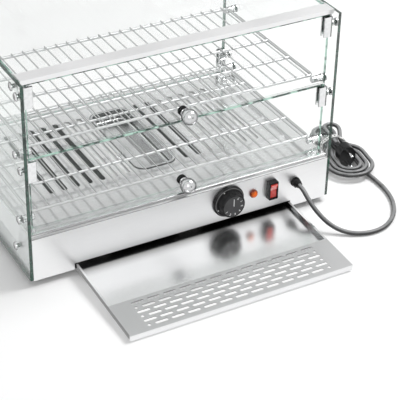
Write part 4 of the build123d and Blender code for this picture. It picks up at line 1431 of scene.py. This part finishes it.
@dataclass
class Lamp(Assembly):
    """The domed indicator lamp.

    Attributes:
        rim: Corners of the rim: distance past the lamp's radius, and height.
        dome_from: Angle over the panel at which the dome begins, in degrees.
    """

    radius: float = LAMP_RADIUS
    rim: Profile = ((0.0, 0.0), (0.0, 0.0021), (-0.0004, 0.0026), (-0.0008, 0.0028), (-0.001, 0.0036))
    dome_middle: float = 0.000688
    dome_radius: float = 0.006312
    dome_from: float = 27.5

    def build(self) -> None:
        """Build the lens as a rim with a smooth dome."""
        outline = [(0.0, 0.0), *((self.radius + past, height) for past, height in self.rim)]
        outline += arc((0.0, self.dome_middle), self.dome_radius, start=self.dome_from, end=90.0, steps=14)
        mesh = mesh_from(turned(outline, steps=48), "lamp_dome", facing_front(*LAMP_CENTRE))
        new_piece(mesh, "lamp_dome", AMBER, Body.CASE, ("lamp_lens",))


@dataclass
class PowerCord(Assembly):
    """The gland, the free cord, its tied hank and the plug.

    Attributes:
        route: Points of the free cord, from the gland to the hank.
        lead_in: Distances in front of the hank of the two points that lead into it.
        front: Front ends of the strands, along the hank.
        rear: Rear ends of the strands, along the hank.
        fanned_by: Where each strand leaves the fan for the waist, along the hank.
        front_across: Side of each strand at the front, and in the same way at the waist and the rear.
        front_layers: Layer of each strand at the front, and in the same way at the waist and the rear.
        first: Share of the front end in the place of a strand's first corner; the fan has the rest.
        near: Share of the way out from the middle at which the waist ends.
        far: Share of the way out at which the strand has reached its outer side.
        layer_bottom: Height of the lowest layer.
        layer_step: Height from one layer to the next.
        tail_side: Side of the tail that ends in the plug.
        plug_rear: Where the tail enters the plug, along the hank.
        bow_angles: Angles of the corners of a round end, in degrees.
    """

    radius: float = 0.0035
    length: float = 1.62
    route: list[Point] = field(default_factory=lambda: [
        (0.188, -0.17, 0.053),
        (0.188, -0.18, 0.053),
        (0.1882, -0.19, 0.05),
        (0.1889, -0.2, 0.0436),
        (0.1908, -0.2115, 0.0355),
        (0.1948, -0.2245, 0.0266),
        (0.2018, -0.2373, 0.0172),
        (0.212, -0.2495, 0.0094),
        (0.225, -0.261, 0.005),
        (0.2405, -0.27, 0.0037),
        (0.258, -0.275, 0.0037),
        (0.276, -0.2745, 0.0037),
        (0.2935, -0.2685, 0.0037),
        (0.3095, -0.2575, 0.0037),
        (0.3235, -0.2425, 0.0037),
        (0.335, -0.2245, 0.0037),
        (0.343, -0.205, 0.0037),
        (0.3475, -0.184, 0.0037),
        (0.349, -0.163, 0.0039),
        (0.3482, -0.1435, 0.0044),
    ])
    lead_in: tuple[float, float] = (0.023, 0.005)
    front: float = -0.068
    rear: float = 0.034
    fanned_by: tuple[float, ...] = (-0.05, -0.05, -0.05, -0.044, -0.044, -0.036, -0.036)
    front_across: tuple[float, ...] = (0.021, -0.0165, 0.0195, -0.026, 0.029, -0.0355, 0.0385)
    front_layers: tuple[int, ...] = (0, 1, 1, 1, 1, 1, 1)
    waist_across: tuple[float, ...] = (0.004, -0.004, 0.007, -0.009, 0.013, -0.013, 0.018)
    waist_layers: tuple[int, ...] = (0, 0, 1, 1, 0, 0, 1)
    rear_across: tuple[float, ...] = (0.0105, -0.0105, 0.017, -0.017, 0.0195, -0.0195, 0.025)
    rear_layers: tuple[int, ...] = (0, 0, 1, 1, 0, 0, 2)
    first: float = 0.6
    near: float = 0.25
    far: float = 0.75
    layer_bottom: float = 0.0048
    layer_step: float = 0.0076
    tail_side: float = 0.0015
    plug_rear: float = -0.018
    bow_angles: tuple[float, ...] = (22.5, 67.5, 112.5, 157.5)

    def hank_point(self, u: float, v: float, layer: float) -> Point:
        """A point of the hank's own frame in the case's frame.

        Args:
            u: Place along the hank.
            v: Place across it.
            layer: Layer over the floor.

        Returns:
            The point.
        """
        along = Vector((math.sin(HANK_LEAN), math.cos(HANK_LEAN), 0.0))
        across = Vector((math.cos(HANK_LEAN), -math.sin(HANK_LEAN), 0.0))
        up = Vector((0.0, 0.0, self.layer_bottom + self.layer_step * layer))
        return tuple(Vector(HANK_CENTRE) + up + along * u + across * v)

    def strand(self, run: int) -> list[Point]:
        """Corners of one strand, from the front of the hank to its rear.

        Args:
            run: Number of the strand.

        Returns:
            The points.
        """
        fan = self.fanned_by[run]
        front = (self.front_across[run], self.front_layers[run])
        waist = (self.waist_across[run], self.waist_layers[run])
        rear = (self.rear_across[run], self.rear_layers[run])
        return [
            self.hank_point(self.front * self.first + fan * (1.0 - self.first), *front),
            self.hank_point(fan * self.far, *front),
            self.hank_point(fan * self.near, *waist),
            self.hank_point(self.rear * self.near, *waist),
            self.hank_point(self.rear * self.far, *rear),
        ]

    def bow(self, end: float, leave: float, enter: float, layer: float) -> list[Point]:
        """Corners of the round end between two strands.

        Args:
            end: Place of the round end along the hank.
            leave: Side of the first strand.
            enter: Side of the next strand.
            layer: Layer of both.

        Returns:
            The points.
        """
        middle, half = (leave + enter) / 2, (leave - enter) / 2
        reach = math.copysign(1.0 / math.cos(math.radians(self.bow_angles[0])), end)
        points = []
        for angle in map(math.radians, self.bow_angles):
            u = end + reach * abs(half) * math.sin(angle)
            points.append(self.hank_point(u, middle + abs(reach) * half * math.cos(angle), layer))
        return points

    def hank(self) -> list[Point]:
        """Corners of the hank's line: waisted strands joined by round ends.

        Returns:
            The points from the free cord to the plug.
        """
        fronts, rears = self.front_across, self.rear_across
        last = len(fronts) - 1
        points = [self.hank_point(self.front - ahead, fronts[0], 0) for ahead in self.lead_in]
        for run in range(0, last, 2):
            points += self.strand(run)
            points += self.bow(self.rear, rears[run], rears[run + 1], self.rear_layers[run])
            points += reversed(self.strand(run + 1))
            points += self.bow(self.front, fronts[run + 1], fronts[run + 2], self.front_layers[run + 1])
        top = self.rear_layers[last]
        points += self.strand(last)
        points += self.bow(self.rear, rears[last], self.tail_side, top)
        tail = ((self.rear + self.plug_rear) / 2, self.plug_rear)
        return points + [self.hank_point(u, self.tail_side, top) for u in tail]

    def build(self) -> None:
        """Build the cord as one line from the gland to the plug."""
        curve = bpy.data.curves.new("mains_cord", "CURVE")
        curve.dimensions = "3D"
        curve.bevel_depth = self.radius
        curve.bevel_resolution = 6
        curve.resolution_u = 10
        curve.use_fill_caps = True
        spline = curve.splines.new("NURBS")
        points = self.route + self.hank()
        spline.points.add(len(points) - 1)
        for point, place in zip(spline.points, points):
            point.co = (*place, 1.0)
        spline.order_u = 3
        spline.use_endpoint_u = True
        cord = new_piece(curve, "mains_cord", SHEATH, Body.CASE, ("power_cord", "cord_hank"))

    def dress(self) -> None:
        """Finish the gland, the tie and the plug."""
        dress_nodes(BLACK_PLASTIC, "cord_gland", "gland_nut")
        dress_nodes(STRAP, "cord_tie")
        dress_nodes(PLUG_BLACK, "plug_body")
        dress_nodes(CHROME, "plug_pins")


@dataclass
class Viewpoint:
    """The camera at the photograph's place."""

    place: Point = (-0.832, -1.671, 1.1965)
    yaw: float = math.radians(29.56)
    pitch: float = math.radians(33.09)
    roll: float = math.radians(-1.34)
    lens: float = 126.3
    sensor: float = 36.0
    nearest: float = 0.05
    farthest: float = 50.0

    def build(self) -> None:
        """Make the camera."""
        ahead = math.cos(self.pitch)
        forward = Vector((math.sin(self.yaw) * ahead, math.cos(self.yaw) * ahead, -math.sin(self.pitch)))
        level = Vector((math.cos(self.yaw), -math.sin(self.yaw), 0.0))
        down = forward.cross(level)
        right = level * math.cos(self.roll) + down * math.sin(self.roll)
        up = level * math.sin(self.roll) - down * math.cos(self.roll)
        data = bpy.data.cameras.new("viewpoint")
        data.lens = self.lens
        data.sensor_width = self.sensor
        data.clip_start = self.nearest
        data.clip_end = self.farthest
        camera = bpy.data.objects.new("viewpoint", data)
        axes = Matrix((right, up, -forward)).transposed().to_4x4()
        camera.matrix_world = Matrix.Translation(self.place) @ axes
        bpy.context.scene.collection.objects.link(camera)
        bpy.context.scene.camera = camera


@dataclass(frozen=True)
class SoftBox:
    """One soft lamp.

    Attributes:
        name: Name of the lamp.
        place: Where it hangs.
        aim: What it points at.
        size: Side of its square in metres.
        watts: Its power.
        mirrored: Whether shiny surfaces show it.
    """

    name: str
    place: Point
    aim: Point
    size: float
    watts: float
    mirrored: bool = True

    def build(self) -> None:
        """Hang the lamp."""
        data = bpy.data.lights.new(self.name, "AREA")
        data.shape = "SQUARE"
        data.size = self.size
        data.energy = self.watts
        lamp = bpy.data.objects.new(self.name, data)
        lamp.location = self.place
        lamp.rotation_mode = "QUATERNION"
        lamp.rotation_quaternion = (Vector(self.aim) - Vector(self.place)).to_track_quat("-Z", "Y")
        lamp.visible_glossy = self.mirrored
        bpy.context.scene.collection.objects.link(lamp)


def studio_sheet(name: str, finish: Finish, width: float, depth: float, where: Matrix) -> bpy.types.Object:
    """Put a flat sheet into the studio, which is no part of the case.

    Args:
        name: Name of the sheet.
        finish: Its finish.
        width: Its side along its own x.
        depth: Its side along its own y.
        where: Its own frame.

    Returns:
        The new object.
    """
    shape = bmesh.new()
    corners = [(-1, -1), (1, -1), (1, 1), (-1, 1)]
    shape.faces.new([shape.verts.new((x * width / 2, y * depth / 2, 0.0)) for x, y in corners])
    sheet = bpy.data.objects.new(name, mesh_from(shape, name, where))
    bpy.context.scene.collection.objects.link(sheet)
    dress(sheet, finish)
    return sheet


@dataclass(frozen=True)
class Card:
    """A flat card of the studio, which gives no light and throws no shadow.

    Attributes:
        name: Name of the card.
        finish: Its grey.
        place: Its middle.
        aim: What it faces.
        width: Its width in metres.
        height: Its height in metres.
        in_view: Whether the camera sees it, or shiny metal alone.
    """

    name: str
    finish: CardFinish
    place: Point
    aim: Point
    width: float
    height: float
    in_view: bool = False

    def build(self) -> None:
        """Stand the card in the studio."""
        turn = (Vector(self.aim) - Vector(self.place)).to_track_quat("Z", "Y").to_matrix().to_4x4()
        where = Matrix.Translation(self.place) @ turn
        card = studio_sheet(self.name, self.finish, self.width, self.height, where)
        card.visible_camera = self.in_view
        card.visible_diffuse = False
        card.visible_transmission = False
        card.visible_shadow = False


@dataclass
class Stage:
    """Floor, surrounding white, lamps and cards.

    Attributes:
        side: Side of the floor in metres.
        fill: Strength of the surrounding white as a light.
    """

    side: float = 12.0
    fill: float = 0.45
    lamps: tuple[SoftBox, ...] = (
        SoftBox("overhead_lamp", (0.5, 0.3, 2.6), (0.0, 0.0, 0.1), size=3.0, watts=16.0, mirrored=False),
        SoftBox("right_lamp", (1.6, -0.2, 2.4), (0.1, -0.1, 0.1), size=1.2, watts=48.0),
        SoftBox("front_lamp", (-1.3, -2.3, 1.7), (0.0, 0.0, 0.1), size=1.2, watts=16.0),
    )
    cards: tuple[Card, ...] = (
        Card("rear_card", GREY_CARD, (1.3, 2.3, 1.9), (0.0, 0.0, 0.1), width=3.0, height=1.8),
        Card("left_card", DARK_CARD, (-2.6, 0.6, 0.7), (0.0, 0.0, 0.2), width=0.9, height=0.9),
        Card("front_card", DARK_CARD, (0.9, -2.8, 0.6), (0.0, 0.0, 0.2), width=0.8, height=0.7),
        # Painted light: a glowing white sheet on the floor under the apron, in the tray's shadow, so that the
        # apron's holes show white.
        Card(
            "painted_light_under_apron", PAINTED_LIGHT_CARD, (0.0, -0.3045, 0.0006), (0.0, -0.3045, 1.0),
            width=0.345, height=0.059, in_view=True,
        ),
    )

    def build(self) -> None:
        """Lay the floor, set the surroundings and hang the lamps and cards."""
        studio_sheet("studio_floor", FLOOR, self.side, self.side, Matrix.Identity(4))
        self.surround()
        for thing in (*self.lamps, *self.cards):
            thing.build()

    def surround(self) -> None:
        """White for the camera and for what metal and glass show, softer for the rest."""
        world = bpy.data.worlds.new("studio_white")
        world.use_nodes = True
        bpy.context.scene.world = world
        wiring = Wiring(world.node_tree)
        whites = []
        for strength in (self.fill, 1.0):
            white = wiring.add("ShaderNodeBackground")
            wiring.put(white.inputs["Color"], WHITE)
            wiring.put(white.inputs["Strength"], strength)
            whites.append(white.outputs["Background"])
        rays = wiring.add("ShaderNodeLightPath").outputs
        seen = wiring.math("MAXIMUM", rays["Is Camera Ray"], rays["Is Glossy Ray"])
        seen = wiring.math("MAXIMUM", seen, rays["Is Transmission Ray"])
        output = wiring.add("ShaderNodeOutputWorld")
        wiring.link(wiring.blend(seen, *whites), output.inputs["Surface"])


def main() -> None:
    """Build and dress the case in order."""
    logging.basicConfig(level=logging.INFO, format="%(name)s: %(message)s")
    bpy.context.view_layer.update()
    scene = bpy.context.scene
    scene.view_settings.view_transform = "Standard"
    scene.cycles.transparent_max_bounces = 40
    Viewpoint().build()
    assemblies = (
        PowerCord(),
        Cabinet(),
        Rack(Level.LOWER, rod_height=0.10235),
        Rack(Level.UPPER, rod_height=0.20885),
        Door(Level.LOWER, Body.LOWER_DOOR, knob_height=0.1013),
        Door(Level.UPPER, Body.UPPER_DOOR, knob_height=0.2163),
        Base(),
        Tray(),
        Dial(),
        Switch(),
        Lamp(),
    )
    for assembly in assemblies:
        assembly.build()
        assembly.dress()
    Stage().build()


if __name__ == "__main__":
    main()
